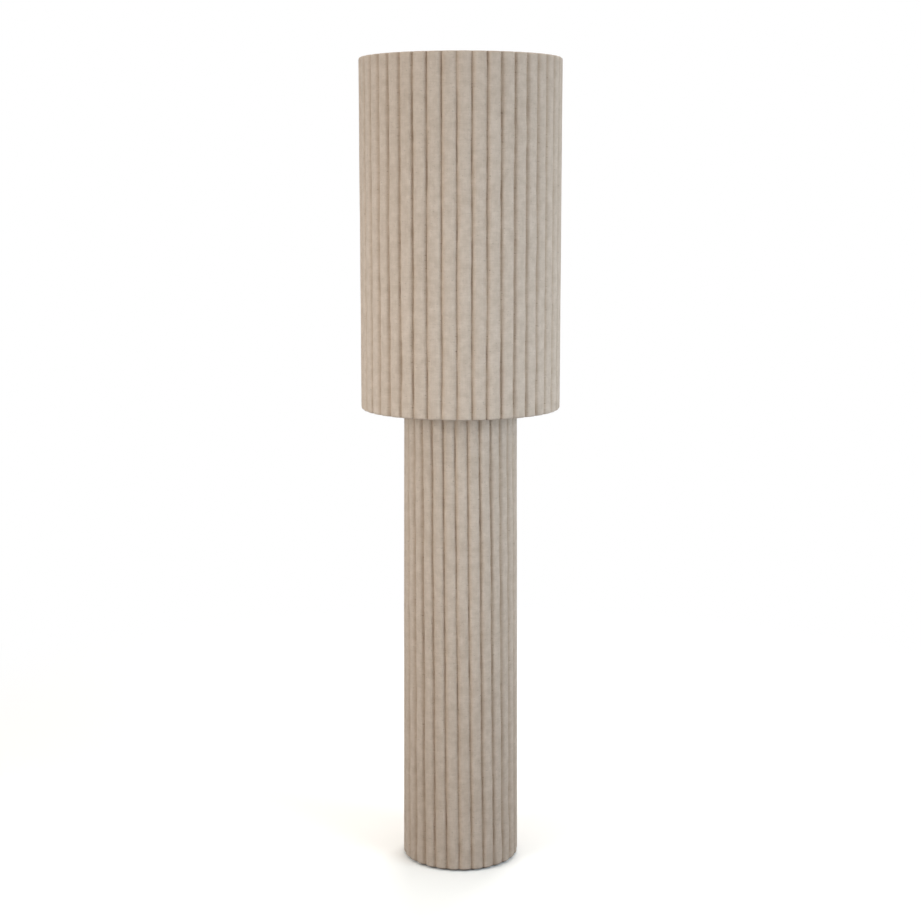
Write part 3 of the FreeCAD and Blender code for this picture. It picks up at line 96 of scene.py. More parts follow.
# Hems, felt and the lampholder's skirt
CLOTH_THICKNESS = 0.8 * MM
HEM_ROUND = 2.2 * MM
HEM_STEPS = 360
HEM_BEND_STEPS = 6
ARM_SLOT_GAP = 0.6 * MM
ARM_ELBOW = 75 * MM
FELT_EDGE = 0.25 * MM
FELT_STEPS = 160
HEM_SLACK = 0.5 * MM
HEM_WAVES = 9
ARM_SLOT_LENGTH = (12 * MM, 1 * MM)  # inward and outward of the wire ring's circle
THREAD_PITCH = 2.5 * MM
THREAD_DEPTH = 0.7 * MM
THREAD_MARGIN = 0.5 * MM
THREAD_STEPS = 72
THREAD_ROWS = 8  # in a turn
THREAD_FADE = 0.6  # of a turn, at each end
SKIRT_STEP = 0.25 * MM
SKIRT_EDGE = 0.4 * MM
FLANGE_THICKNESS = 2.5 * MM
FLANGE_GAP = 0.1 * MM
CUT_OVERRUN = 10 * MM  # how far a cutter stands out of what it cuts

# Finishes. Noise scales are waves in a metre, along each axis or across and along the cloth.
YARN_SWAY_WAVES = (210, 210, 1)
YARN_SWAY = 0.9  # in yarns
YARN_APART = 3.7  # keeps the tone of one yarn from its neighbour's
YARN_TONE_WAVES = 45.0
YARN_TONE_SHARE = 0.45
PATCH_TONE_SHARE = 0.75
LINEN_PATCHES = 70.0
TONE_RANGE = (0.26, 0.94)  # the tones at which the cloth is wholly dark and wholly light
WEFT_SLUB_WAVES = (120, 620, 1)
WARP_SLUB_WAVES = (560, 70, 1)
SLUB_HEIGHT = 0.35
SLUB_DARKNESS = 0.30
FLECK_WAVES = (210, 400, 1)
FLECK_SHADE = 0.62
# The patches of the painted shade in the sewn channels
CHANNEL_SHADE_WAVES = (30, 85, 1)
FELT_MAT_WAVES = 900.0
FELT_HAIR_WAVES = (1500, 320, 700)
BOARD_FIBRE_WAVES = (500, 500, 90)
LINEN_THREAD_DEPTH = 0.22 * MM
TURNING_MARK_SCALE = 2600.0
TURNING_MARK_DEPTH = 0.012 * MM

# The camera that the outline in the photograph was fitted to
IMAGE_SIZE = 921  # pixels
FOCAL_LENGTH = 1716.5  # pixels
CAMERA_PLACE = (0.0, -2.747, 1.1042)
CAMERA_TILT = 9.117  # degrees below the level

# The studio: a soft square lamp at each side of the front, one behind and one above.
# Each has a name, a place, a point it is aimed at, its side in metres, its watts and its colour.
AMBIENT = 0.52
AMBIENT_COLOUR = (1.0, 0.935, 0.85, 1.0)
LAMPS = (
    ("left_lamp", (-1.09, -0.83, 0.81), (0, 0, 0.81), 0.9, 12.7, (0.97, 0.99, 0.97)),
    ("right_lamp", (1.09, -0.83, 0.81), (0, 0, 0.81), 0.9, 14.3, (0.76, 0.90, 1.0)),
    ("back_lamp", (0.5, 2.2, 1.3), (0, 0, 0.8), 1.8, 46.0, (1.0, 0.98, 0.96)),
    ("top_lamp", (0.0, -0.1, 3.0), (0, 0, 1.0), 1.2, 14.0, (1.0, 0.97, 0.93)),
)
WHITE = (1.0, 1.0, 1.0, 1.0)
FLOOR_REACH = 14.0
FLOOR_SEEN = (0.97, 0.97, 0.965, 1.0)
FLOOR_LIT = (0.10, 0.06, 0.03, 1.0)  # what the floor throws back on the lamp
FLOOR_FADE = (0.45, 1.7)  # from the axis, where the floor starts to fade to white and where it is white


# ---------------------------------------------------------------- meshes


def finished(name, bm, slot, smooth=True):
    """An object made from a bmesh, with the finish of one of the record's slots."""
    mesh = bpy.data.meshes.new(name)
    bm.to_mesh(mesh)
    bm.free()
    for face in mesh.polygons:
        face.use_smooth = smooth
    made = bpy.data.objects.new(name, mesh)
    bpy.context.scene.collection.objects.link(made)
    mesh.materials.append(FINISHES[slot])
    return made


def lathe(profile, steps, closed=True):
    """A bmesh spun a full turn about Z from (radius, height) points."""
    bm = bmesh.new()
    verts = [bm.verts.new((radius, 0.0, height)) for radius, height in profile]
    ends = verts[1:] + verts[:1] if closed else verts[1:]
    edges = [bm.edges.new(pair) for pair in zip(verts, ends)]
    bmesh.ops.spin(
        bm, geom=verts + edges, cent=(0, 0, 0), axis=(0, 0, 1), angle=TURN, steps=steps, use_merge=True
    )
    bmesh.ops.recalc_face_normals(bm, faces=bm.faces)
    return bm


def carved(piece, cutter):
    """Cut one mesh out of a piece, for good."""
    modifier = piece.modifiers.new("carve", "BOOLEAN")
    modifier.operation = "DIFFERENCE"
    modifier.solver = "EXACT"
    modifier.object = cutter
    bpy.context.view_layer.update()
    shape = bpy.data.meshes.new_from_object(piece.evaluated_get(bpy.context.evaluated_depsgraph_get()))
    piece.modifiers.clear()
    piece.data = shape
    bpy.data.objects.remove(cutter)
    return piece


def rods(name, lines, radius, segments=32):
    """Round rods between pairs of points, as one object to cut with."""
    bm = bmesh.new()
    for start, end in lines:
        along = Vector(end) - Vector(start)
        turn = along.to_track_quat("Z", "Y").to_matrix().to_4x4()
        place = Matrix.Translation((Vector(start) + Vector(end)) / 2) @ turn
        bmesh.ops.create_cone(
            bm, cap_ends=True, segments=segments, radius1=radius, radius2=radius,
            depth=along.length, matrix=place,
        )
    mesh = bpy.data.meshes.new(name)
    bm.to_mesh(mesh)
    bm.free()
    made = bpy.data.objects.new(name, mesh)
    bpy.context.scene.collection.objects.link(made)
    return made


def reach(node, low, high, pick=max):
    """The widest (or with min, the narrowest) radius of a CAD node between two heights."""
    corners = frame["nodes"][node].data.vertices
    return pick(corner.co.xy.length for corner in corners if low <= corner.co.z <= high)


def quarter(centre, radii, start, steps):
    """Points of a quarter ellipse in the (radius, height) plane, from an angle in degrees."""
    points = []
    for step in range(steps + 1):
        angle = math.radians(start + 90 * step / steps)
        points.append((centre[0] + radii[0] * math.cos(angle), centre[1] + radii[1] * math.sin(angle)))
    return points


# ---------------------------------------------------------------- node trees


def feed(tree, value, socket):
    """Link an output to a socket, or set the socket's own value."""
    if isinstance(value, bpy.types.NodeSocket):
        tree.links.new(value, socket)
    else:
        socket.default_value = value


def maths(tree, operation, *values):
    """A Math node's result."""
    made = tree.nodes.new("ShaderNodeMath")
    made.operation = operation
    for value, socket in zip(values, made.inputs):
        feed(tree, value, socket)
    return made.outputs[0]


def ramped(tree, value, low, high, to_low=0.0, to_high=1.0):
    """A value taken from one range to another, smoothly and with its ends held."""
    made = tree.nodes.new("ShaderNodeMapRange")
    made.interpolation_type = "SMOOTHSTEP"
    for entry, socket in zip((value, low, high, to_low, to_high), made.inputs):
        feed(tree, entry, socket)
    return made.outputs[0]


def blended(tree, share, first, second, way="MIX"):
    """Two colours mixed."""
    made = tree.nodes.new("ShaderNodeMix")
    made.data_type = "RGBA"
    made.blend_type = way
    feed(tree, share, made.inputs[0])
    feed(tree, first, made.inputs[6])
    feed(tree, second, made.inputs[7])
    return made.outputs[2]


def clouds(tree, vector, scale, detail=2.0, roughness=0.5):
    """A noise texture's value."""
    made = tree.nodes.new("ShaderNodeTexNoise")
    feed(tree, vector, made.inputs["Vector"])
    feed(tree, scale, made.inputs["Scale"])
    feed(tree, detail, made.inputs["Detail"])
    feed(tree, roughness, made.inputs["Roughness"])
    return made.outputs[0]


def stretched(tree, vector, scales):
    """A vector with each axis scaled by its own number."""
    made = tree.nodes.new("ShaderNodeMapping")
    feed(tree, vector, made.inputs["Vector"])
    made.inputs["Scale"].default_value = scales
    return made.outputs[0]


def streaks(tree, vector, waves, detail=2.0, roughness=0.5):
    """A noise texture's value, with its own number of waves in a metre along each axis."""
    return clouds(tree, stretched(tree, vector, waves), 1.0, detail, roughness)


def split(tree, vector):
    """A vector's three numbers."""
    made = tree.nodes.new("ShaderNodeSeparateXYZ")
    feed(tree, vector, made.inputs[0])
    return made.outputs[0], made.outputs[1], made.outputs[2]


def group(name, inputs, outputs):
    """An empty shader group, with its own input and output nodes."""
    made = bpy.data.node_groups.new(name, "ShaderNodeTree")
    for label, kind in inputs:
        made.interface.new_socket(name=label, in_out="INPUT", socket_type=kind)
    for label, kind in outputs:
        made.interface.new_socket(name=label, in_out="OUTPUT", socket_type=kind)
    return made, made.nodes.new("NodeGroupInput"), made.nodes.new("NodeGroupOutput")


def placed(tree, shared, **values):
    """A shared group placed in a material's tree."""
    made = tree.nodes.new("ShaderNodeGroup")
    made.node_tree = shared
    for label, value in values.items():
        feed(tree, value, made.inputs[label.replace("_", " ")])
    return made.outputs


FLOAT = "NodeSocketFloat"
VECTOR = "NodeSocketVector"


def make_weave():
    """Plain weave on cloth coordinates in metres: thread relief, yarn tone, slubs and flecks."""
    tree, given, result = group(
        "linen_weave",
        [("Cloth", VECTOR), ("Thread", FLOAT)],
        [("Height", FLOAT), ("Tone", FLOAT), ("Slub", FLOAT), ("Fleck", FLOAT)],
    )
    across, up, _ = split(tree, given.outputs["Cloth"])
    thread = given.outputs["Thread"]
    sway = streaks(tree, given.outputs["Cloth"], YARN_SWAY_WAVES, 1.0)
    sway = maths(tree, "MULTIPLY", maths(tree, "SUBTRACT", sway, 0.5), YARN_SWAY)
    warp = maths(tree, "ADD", maths(tree, "DIVIDE", across, thread), sway)
    weft = maths(tree, "ADD", maths(tree, "DIVIDE", up, thread), sway)
    warp_wave = maths(tree, "SINE", maths(tree, "MULTIPLY", warp, math.pi))
    weft_wave = maths(tree, "SINE", maths(tree, "MULTIPLY", weft, math.pi))
    over = maths(tree, "MULTIPLY", maths(tree, "MULTIPLY", warp_wave, weft_wave), 0.45)
    warp_share = maths(tree, "ADD", 0.55, over)
    weft_share = maths(tree, "SUBTRACT", 0.55, over)
    warp_top = maths(tree, "MULTIPLY", maths(tree, "ABSOLUTE", warp_wave), warp_share)
    weft_top = maths(tree, "MULTIPLY", maths(tree, "ABSOLUTE", weft_wave), weft_share)
    relief = maths(tree, "MAXIMUM", warp_top, weft_top)

    def yarn_tone(yarn, along, seed):
        """A tone of each yarn's own, that changes over a few centimetres of it."""
        made = tree.nodes.new("ShaderNodeCombineXYZ")
        feed(tree, maths(tree, "MULTIPLY", maths(tree, "FLOOR", yarn), YARN_APART), made.inputs[0])
        feed(tree, maths(tree, "MULTIPLY", along, YARN_TONE_WAVES), made.inputs[1])
        feed(tree, seed, made.inputs[2])
        return clouds(tree, made.outputs[0], 1.0, 2.0)

    warp_is_over = maths(tree, "GREATER_THAN", warp_top, weft_top)
    warp_tone = yarn_tone(warp, up, 0.3)
    weft_tone = yarn_tone(weft, across, 7.7)
    tone = maths(tree, "ADD", weft_tone, maths(tree, "MULTIPLY", warp_is_over,
                                               maths(tree, "SUBTRACT", warp_tone, weft_tone)))
    weft_slub = streaks(tree, given.outputs["Cloth"], WEFT_SLUB_WAVES)
    warp_slub = streaks(tree, given.outputs["Cloth"], WARP_SLUB_WAVES)
    slub = maths(tree, "MAXIMUM", ramped(tree, weft_slub, 0.56, 0.72), ramped(tree, warp_slub, 0.62, 0.76))
    fleck = streaks(tree, given.outputs["Cloth"], FLECK_WAVES, 3.0)
    height = maths(tree, "ADD", relief, maths(tree, "MULTIPLY", slub, SLUB_HEIGHT))
    tree.links.new(height, result.inputs["Height"])
    tree.links.new(tone, result.inputs["Tone"])
    tree.links.new(slub, result.inputs["Slub"])
    tree.links.new(ramped(tree, fleck, 0.62, 0.74), result.inputs["Fleck"])
    return tree


def make_grain():
    """Fine relief with broad, faint patches, for moulded, painted and cast faces."""
    tree, given, result = group(
        "fine_grain",
        [("Place", VECTOR), ("Grain", FLOAT), ("Patch", FLOAT)],
        [("Height", FLOAT), ("Patches", FLOAT)],
    )
    fine = clouds(tree, given.outputs["Place"], given.outputs["Grain"], 3.0, 0.6)
    broad = clouds(tree, given.outputs["Place"], given.outputs["Patch"], 2.0)
    tree.links.new(fine, result.inputs["Height"])
    tree.links.new(ramped(tree, broad, 0.35, 0.65), result.inputs["Patches"])
    return tree


def make_turning_marks():
    """Fine rings round an axis along Z, and smudges over them, for turned and rolled metal."""
    tree, given, result = group(
        "turning_marks",
        [("Place", VECTOR), ("Marks", FLOAT)],
        [("Height", FLOAT), ("Smudge", FLOAT)],
    )
    squeezed = stretched(tree, given.outputs["Place"], (0.04, 0.04, 1.0))
    marks = clouds(tree, squeezed, given.outputs["Marks"], 4.0, 0.7)
    smudge = clouds(tree, given.outputs["Place"], 90.0, 3.0)
    tree.links.new(marks, result.inputs["Height"])
    tree.links.new(ramped(tree, smudge, 0.38, 0.68), result.inputs["Smudge"])
    return tree


WEAVE = make_weave()
GRAIN = make_grain()
TURNING_MARKS = make_turning_marks()


# ---------------------------------------------------------------- materials


def started(name, roughness, metallic=0.0):
    """A new material with its tree, its shader and object coordinates."""
    made = bpy.data.materials.new(name)
    made.use_nodes = True
    tree = made.node_tree
    shader = tree.nodes["Principled BSDF"]
    shader.inputs["Roughness"].default_value = roughness
    shader.inputs["Metallic"].default_value = metallic
    where = tree.nodes.new("ShaderNodeTexCoord")
    return made, tree, shader, where


def raised(tree, shader, height, distance):
    """A relief on the shader, from a height field and its real depth in metres."""
    bump = tree.nodes.new("ShaderNodeBump")
    bump.inputs["Strength"].default_value = 1.0
    bump.inputs["Distance"].default_value = distance
    tree.links.new(height, bump.inputs["Height"])
    tree.links.new(bump.outputs["Normal"], shader.inputs["Normal"])


def dimmed(colour, share):
    """A colour with only a share of its light."""
    return tuple(share * part for part in colour[:3]) + (1.0,)


def linen(name, light, dark, channel_shade_tint, thread):
    """Woven linen: two yarn colours, slubs, dark flecks, painted shade in the sewn channels and a soft nap.
    """
    made, tree, shader, where = started(name, 0.9)
    cloth = where.outputs["UV"]
    weave = placed(tree, WEAVE, Cloth=cloth, Thread=thread)
    patches = clouds(tree, where.outputs["Object"], LINEN_PATCHES, 4.0, 0.6)
    tone = maths(tree, "ADD", maths(tree, "MULTIPLY", weave["Tone"], YARN_TONE_SHARE),
                 maths(tree, "MULTIPLY", patches, PATCH_TONE_SHARE))
    colour = blended(tree, ramped(tree, tone, *TONE_RANGE), dark, light)
    colour = blended(tree, maths(tree, "MULTIPLY", weave["Slub"], SLUB_DARKNESS), colour, dark)
    channel = tree.nodes.new("ShaderNodeAttribute")
    channel.attribute_name = "channel"
    fleck_share = ramped(tree, channel.outputs["Fac"], 0.0, 0.6, 0.5, 0.9)
    flecks = maths(tree, "MULTIPLY", weave["Fleck"], fleck_share)
    colour = blended(tree, flecks, colour, dimmed(dark, FLECK_SHADE))
    # Painted shade: the sewn channels are darkened towards the channel colour, in uneven patches.
    shade_patchiness = streaks(tree, cloth, CHANNEL_SHADE_WAVES)
    painted_channel_shade = maths(tree, "MULTIPLY", channel.outputs["Fac"], ramped(tree, shade_patchiness, 0.35, 0.7, 0.7, 1.0))
    colour = blended(tree, painted_channel_shade, colour, blended(tree, 1.0, colour, channel_shade_tint, "MULTIPLY"))
    tree.links.new(colour, shader.inputs["Base Color"])
    rough = maths(tree, "SUBTRACT", 0.97, maths(tree, "MULTIPLY", weave["Height"], 0.12))
    tree.links.new(rough, shader.inputs["Roughness"])
    shader.inputs["Specular IOR Level"].default_value = 0.25
    shader.inputs["Sheen Weight"].default_value = 0.12
    shader.inputs["Sheen Roughness"].default_value = 0.6
    raised(tree, shader, weave["Height"], LINEN_THREAD_DEPTH)
    return made


def felt(name, dark, light):
    """Pressed felt: matted fibres with paler hairs."""
    made, tree, shader, where = started(name, 0.98)
    place = where.outputs["Object"]
    mat = clouds(tree, place, FELT_MAT_WAVES, 4.0, 0.7)
    hairs = streaks(tree, place, FELT_HAIR_WAVES, 3.0)
    colour = blended(tree, ramped(tree, mat, 0.3, 0.7), dark, light)
    colour = blended(tree, ramped(tree, hairs, 0.62, 0.72, 0.0, 0.5), colour, light)
    tree.links.new(colour, shader.inputs["Base Color"])
    shader.inputs["Sheen Weight"].default_value = 0.4
    raised(tree, shader, mat, 0.3 * MM)
    return made


def smooth(name, colour, shade, roughness, grain, depth, coat):
    """Paint, plastic, rubber and the like: fine grain, faint patches and slightly varied gloss."""
    made, tree, shader, where = started(name, roughness)
    marks = placed(tree, GRAIN, Place=where.outputs["Object"], Grain=grain, Patch=22.0)
    tree.links.new(blended(tree, marks["Patches"], shade, colour), shader.inputs["Base Color"])
    gloss = maths(tree, "ADD", roughness - 0.05, maths(tree, "MULTIPLY", marks["Height"], 0.10))
    tree.links.new(gloss, shader.inputs["Roughness"])
    shader.inputs["Coat Weight"].default_value = coat
    shader.inputs["Coat Roughness"].default_value = 0.12
    raised(tree, shader, marks["Height"], depth)
    return made


def metal(name, colour, stain, roughness):
    """Bright metal with turning marks, and handling smudges that dull it."""
    made, tree, shader, where = started(name, roughness, 1.0)
    marks = placed(tree, TURNING_MARKS, Place=where.outputs["Object"], Marks=TURNING_MARK_SCALE)
    tree.links.new(blended(tree, marks["Smudge"], colour, stain), shader.inputs["Base Color"])
    dull = maths(tree, "ADD", roughness, maths(tree, "MULTIPLY", marks["Smudge"], 0.16))
    tree.links.new(dull, shader.inputs["Roughness"])
    raised(tree, shader, marks["Height"], TURNING_MARK_DEPTH)
    return made


def rolled_board(name, colour, shade, seam_pitch):
    """Brown sheet rolled into a tube: a spiral seam, pressed fibres and faint bands."""
    made, tree, shader, where = started(name, 0.85)
    place = where.outputs["Object"]
    across, along, up = split(tree, place)
    turn = maths(tree, "DIVIDE", maths(tree, "ARCTAN2", along, across), TURN)
    winding = maths(tree, "FRACT", maths(tree, "SUBTRACT", maths(tree, "DIVIDE", up, seam_pitch), turn))
    seam = ramped(tree, maths(tree, "ABSOLUTE", maths(tree, "SUBTRACT", winding, 0.5)), 0.0, 0.012, 1.0, 0.0)
    fibres = streaks(tree, place, BOARD_FIBRE_WAVES, 4.0, 0.7)
    colour = blended(tree, ramped(tree, fibres, 0.3, 0.7), shade, colour)
    colour = blended(tree, maths(tree, "MULTIPLY", seam, 0.5), colour, dimmed(shade, 0.5))
    tree.links.new(colour, shader.inputs["Base Color"])
    raised(tree, shader, maths(tree, "SUBTRACT", fibres, seam), 0.12 * MM)
    return made


def chip_board(name, colour, chip):
    """Pressed wood board: pale and brown chips among fine fibres."""
    made, tree, shader, where = started(name, 0.8)
    place = where.outputs["Object"]
    cells = tree.nodes.new("ShaderNodeTexVoronoi")
    feed(tree, stretched(tree, place, (260, 420, 900)), cells.inputs["Vector"])
    cells.inputs["Scale"].default_value = 1.0
    _, _, cell_tone = split(tree, cells.outputs["Color"])
    fibre = clouds(tree, place, 1400.0, 3.0)
    mixed = maths(tree, "ADD", maths(tree, "MULTIPLY", cell_tone, 0.7), maths(tree, "MULTIPLY", fibre, 0.3))
    tree.links.new(blended(tree, mixed, chip, colour), shader.inputs["Base Color"])
    raised(tree, shader, mixed, 0.15 * MM)
    return made


def cast_iron(name, colour, rust):
    """Painted cast iron: a pebbled skin, and rust where the paint is thin."""
    made, tree, shader, where = started(name, 0.55)
    marks = placed(tree, GRAIN, Place=where.outputs["Object"], Grain=420.0, Patch=45.0)
    thin = maths(tree, "MULTIPLY", ramped(tree, marks["Height"], 0.58, 0.72), marks["Patches"])
    tree.links.new(blended(tree, thin, colour, rust), shader.inputs["Base Color"])
    raised(tree, shader, marks["Height"], 0.35 * MM)
    return made


def opal_glass(name, colour, shade):
    """White glass that spreads light: nearly opaque, soft inside and glossy outside."""
    made, tree, shader, where = started(name, 0.22)
    marks = placed(tree, GRAIN, Place=where.outputs["Object"], Grain=120.0, Patch=30.0)
    tree.links.new(blended(tree, marks["Patches"], shade, colour), shader.inputs["Base Color"])
    tree.links.new(ramped(tree, marks["Height"], 0.2, 0.8, 0.18, 0.28), shader.inputs["Roughness"])
    shader.inputs["Transmission Weight"].default_value = 0.15
    shader.inputs["Coat Weight"].default_value = 0.4
    shader.inputs["Coat Roughness"].default_value = 0.08
    return made


def rgb(red, green, blue):
    """A colour written as it shows, in 0 to 255 steps, turned linear."""
    linear = []
    for part in (red, green, blue):
        share = part / 255
        linear.append(share / 12.92 if share <= 0.04045 else ((share + 0.055) / 1.055) ** 2.4)
    return tuple(linear) + (1.0,)


# Plain finishes: name, colour, colour of its patches, roughness, grains per metre, their depth, coat
SMOOTH_FINISHES = {
    "liner_sheet": ("white_liner_sheet", (240, 238, 232), (238, 236, 229), 0.5, 1500.0, 0.02 * MM, 0.0),
    "foot_rubber": ("foot_rubber", (44, 44, 45), (36, 36, 37), 0.75, 1100.0, 0.04 * MM, 0.0),
    "cap_paint": ("cap_paint", (214, 206, 193), (206, 197, 183), 0.42, 700.0, 0.03 * MM, 0.0),
    "frame_paint": ("frame_paint", (232, 230, 224), (225, 222, 214), 0.38, 650.0, 0.015 * MM, 0.0),
    "black_plastic": ("black_moulding", (30, 29, 29), (38, 37, 36), 0.36, 1800.0, 0.015 * MM, 0.0),
    "white_plastic": ("white_moulding", (236, 235, 230), (229, 227, 220), 0.32, 1600.0, 0.012 * MM, 0.0),
    "natural_plastic": ("natural_moulding", (228, 224, 208), (219, 213, 194), 0.4, 1500.0, 0.015 * MM, 0.0),
    "porcelain": ("porcelain", (240, 238, 230), (232, 229, 219), 0.16, 300.0, 0.008 * MM, 0.6),
    "lead_sheath": ("lead_sheath", (232, 228, 217), (224, 218, 205), 0.45, 2200.0, 0.01 * MM, 0.0),
    "core_sheath": ("core_sheath", (60, 92, 140), (52, 82, 128), 0.4, 2600.0, 0.008 * MM, 0.0),
    "bulb_black": ("black_glass", (22, 22, 24), (28, 28, 31), 0.14, 400.0, 0.006 * MM, 0.5),
}

FINISHES = {
    # A linen's third colour is the painted shade in its sewn channels; white paints none.
    "linen": linen("natural_linen", rgb(211, 196, 183), rgb(185, 169, 154), rgb(230, 221, 211), 0.85 * MM),
    "linen_tape": linen("hem_linen", rgb(200, 188, 173), rgb(172, 158, 141), rgb(255, 255, 255), 0.55 * MM),
    "felt": felt("black_felt", rgb(34, 34, 35), rgb(74, 74, 76)),
    "core_sheet": rolled_board("rolled_brown_board", rgb(176, 146, 110), rgb(150, 120, 86), 120 * MM),
    "disc_board": chip_board("chip_board", rgb(196, 164, 122), rgb(140, 104, 66)),
    "cast_weight": cast_iron("painted_cast_iron", rgb(52, 53, 55), rgb(96, 60, 40)),
    "zinc_steel": metal("zinc_steel", rgb(200, 202, 205), rgb(168, 166, 158), 0.28),
    "brass": metal("brass", rgb(206, 170, 102), rgb(160, 124, 66), 0.24),
    "bulb_metal": metal("nickel_plate", rgb(206, 206, 203), rgb(176, 174, 168), 0.26),
    "opal": opal_glass("opal_glass", rgb(246, 244, 238), rgb(240, 236, 226)),
}
for slot_name, (name, colour, patch_colour, *numbers) in SMOOTH_FINISHES.items():
    FINISHES[slot_name] = smooth(name, rgb(*colour), rgb(*patch_colour), *numbers)

for part in frame["record"]["subparts"]:
    holder = frame["nodes"][part["node"]].material_slots[0]
    holder.link = "OBJECT"
    holder.material = FINISHES[part["material_slot"]]


# ---------------------------------------------------------------- ribbed covers


def cover_profile(low, high, thick):
    """A cover's wall cut upright: (share of the thickness, height) points, from the middle of the
    backing round the foot, up the face, round the top and back again.

    The share is 0 on the backing and 1 on the ribs' crowns.
    """
    outer = RIB_END_ROUND / thick
    inner = RIB_END_FOLD / thick
    middle = (low + high) / 2
    rows = round((high - low - 2 * RIB_END_ROUND) / ROW_HEIGHT)
    rise = (high - low - 2 * RIB_END_ROUND) / rows
    fall = (middle - low - RIB_END_FOLD) / BACKING_ROWS
    points = [(0.0, middle - fall * row) for row in range(BACKING_ROWS)]
    points += quarter((inner, low + RIB_END_FOLD), (inner, RIB_END_FOLD), 180, FOLD_STEPS)
    points += quarter((1.0 - outer, low + RIB_END_ROUND), (outer, RIB_END_ROUND), 270, ROUND_STEPS)
    points += [(1.0, low + RIB_END_ROUND + rise * row) for row in range(1, rows)]
    points += quarter((1.0 - outer, high - RIB_END_ROUND), (outer, RIB_END_ROUND), 0, ROUND_STEPS)
    points += quarter((inner, high - RIB_END_FOLD), (inner, RIB_END_FOLD), 90, FOLD_STEPS)
    points += [(0.0, high - RIB_END_FOLD - fall * row) for row in range(1, BACKING_ROWS + 1)]
    return points


@functools.lru_cache(maxsize=None)
def wander(seed, channel, height, kind):
    """A smooth stray value that changes along a channel, within about plus or minus its amount."""
    offset, length, amount = kind
    return amount * noise.noise(Vector((seed + offset + channel * 7.31, height / length, channel * 1.93)))


@functools.lru_cache(maxsize=None)
def channel_shape(seed, channel, height):
    """How far a channel strays sideways at a height, how far it reaches, how deep it lies and how
    much it puckers."""
    stray = wander(seed, channel, height, LONG_STRAY) + wander(seed, channel, height, SHORT_STRAY)
    width = CHANNEL_REACH * (1.0 + wander(seed, channel, height, REACH_CHANGE))
    depth = RIB_DEPTH * (1.0 + wander(seed, channel, height, DEPTH_CHANGE))
    pucker = wander(seed, channel, height, PUCKER)
    return stray, width, depth, pucker


def make_cover(name, node, ribs, channel_angles, seed, dimple=None):
    """A padded, ribbed cover round the lamp's axis, in the space of its CAD solid.

    It is a strip of cloth, rolled up and sewn together in the channel nearest the back.
    channel_angles holds the first channel's angle at the foot and at the top. dimple holds the
    height and the level of a fitting at the back that the padding is pressed flat round, and the
    radii it eases between.
    """
    low, high = (corner.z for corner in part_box(node))
    near = 1.5 * RIB_END_ROUND
    crown_low = reach(node, low, low + near)
    crown_rise = reach(node, high - near, high) - crown_low
    bore_low = reach(node, low, low + near, min)
    bore_rise = reach(node, high - near, high, min) - bore_low
    stations = RIB_STATIONS + tuple(1.0 - share for share in reversed(RIB_STATIONS[1:-1]))
    facets = len(stations)
    pitch = TURN / ribs
    width = pitch * (crown_low + crown_rise / 2)
    wall = crown_low - bore_low
    profile = cover_profile(low, high, wall)
    along = [0.0]
    for (share, height), (next_share, next_height) in zip(profile, profile[1:]):
        along.append(along[-1] + math.hypot((next_share - share) * wall, next_height - height))

    bm = bmesh.new()
    columns, rows = ribs * facets, len(profile) - 1
    bmesh.ops.create_grid(bm, x_segments=columns, y_segments=rows, size=0.5)
    bm.verts.index_update()
    uv = bm.loops.layers.uv.new("cloth")
    channel_mask = bm.verts.layers.float.new("channel")
    cloth = []
    for vert in bm.verts:
        rib, station = divmod(round((vert.co.x + 0.5) * columns), facets)
        row = round((vert.co.y + 0.5) * rows)
        across = stations[station]
        thick, height = profile[row]
        cloth.append(((rib + across) * width, along[row]))

        side = 0 if across < 0.5 else 1
        sides = (channel_shape(seed, rib % ribs, height), channel_shape(seed, (rib + 1) % ribs, height))
        inward = min(across, 1.0 - across)
        stray = sides[0][0] * (1.0 - across) + sides[1][0] * across
        _, spread, depth, pucker = sides[side]
        from_seam = inward * width
        valley = math.exp(-(from_seam / spread) ** 2) * (1.0 - SEAM_DEPTH)
        valley += math.exp(-from_seam / SEAM_REACH) * SEAM_DEPTH
        bow = RIB_CROWN_RISE * (1.0 - inward / 0.5) ** 2
        drop = bow + (depth - bow) * valley + pucker * math.exp(-(inward / PUCKER_SHARE) ** 2)
        drop = max(drop + wander(seed, rib % ribs, height, UNEVEN_PADDING), 0.0)

        climb = (height - low) / (high - low)
        bore = bore_low + bore_rise * climb
        radius = bore + thick * (crown_low + crown_rise * climb - drop - bore)
        first = channel_angles[0] + (channel_angles[1] - channel_angles[0]) * climb
        angle = math.radians(first - 90) + pitch * (ribs // 2 + rib + across + thick * stray / width)
        vert.co = (radius * math.cos(angle), radius * math.sin(angle), height)
        # The channel's depth here, which the linen darkens as painted shade and sprinkles with flecks.
        vert[channel_mask] = thick * valley
        if dimple is not None and vert.co.y > 0 and radius > dimple["level"]:
            away = math.hypot(vert.co.x, height - dimple["height"])
            ease = min(max((away - dimple["inner"]) / (dimple["outer"] - dimple["inner"]), 0.0), 1.0)
            pressed = dimple["level"] + (radius - dimple["level"]) * ease * ease * (3 - 2 * ease)
            vert.co.xy *= pressed / radius

    for face in bm.faces:
        for loop in face.loops:
            loop[uv].uv = cloth[loop.vert.index]
    bmesh.ops.remove_doubles(bm, verts=[vert for vert in bm.verts if vert.is_boundary], dist=0.001 * MM)
    bmesh.ops.recalc_face_normals(bm, faces=bm.faces)
    cover = finished(name, bm, "linen")
    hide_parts(node)
    return cover


shade_cover = make_cover(
    "shade_linen_cover", "shade_cover", SHADE_RIBS, (SHADE_CHANNEL, SHADE_CHANNEL), SHADE_SEED
)
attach(shade_cover, "shade")

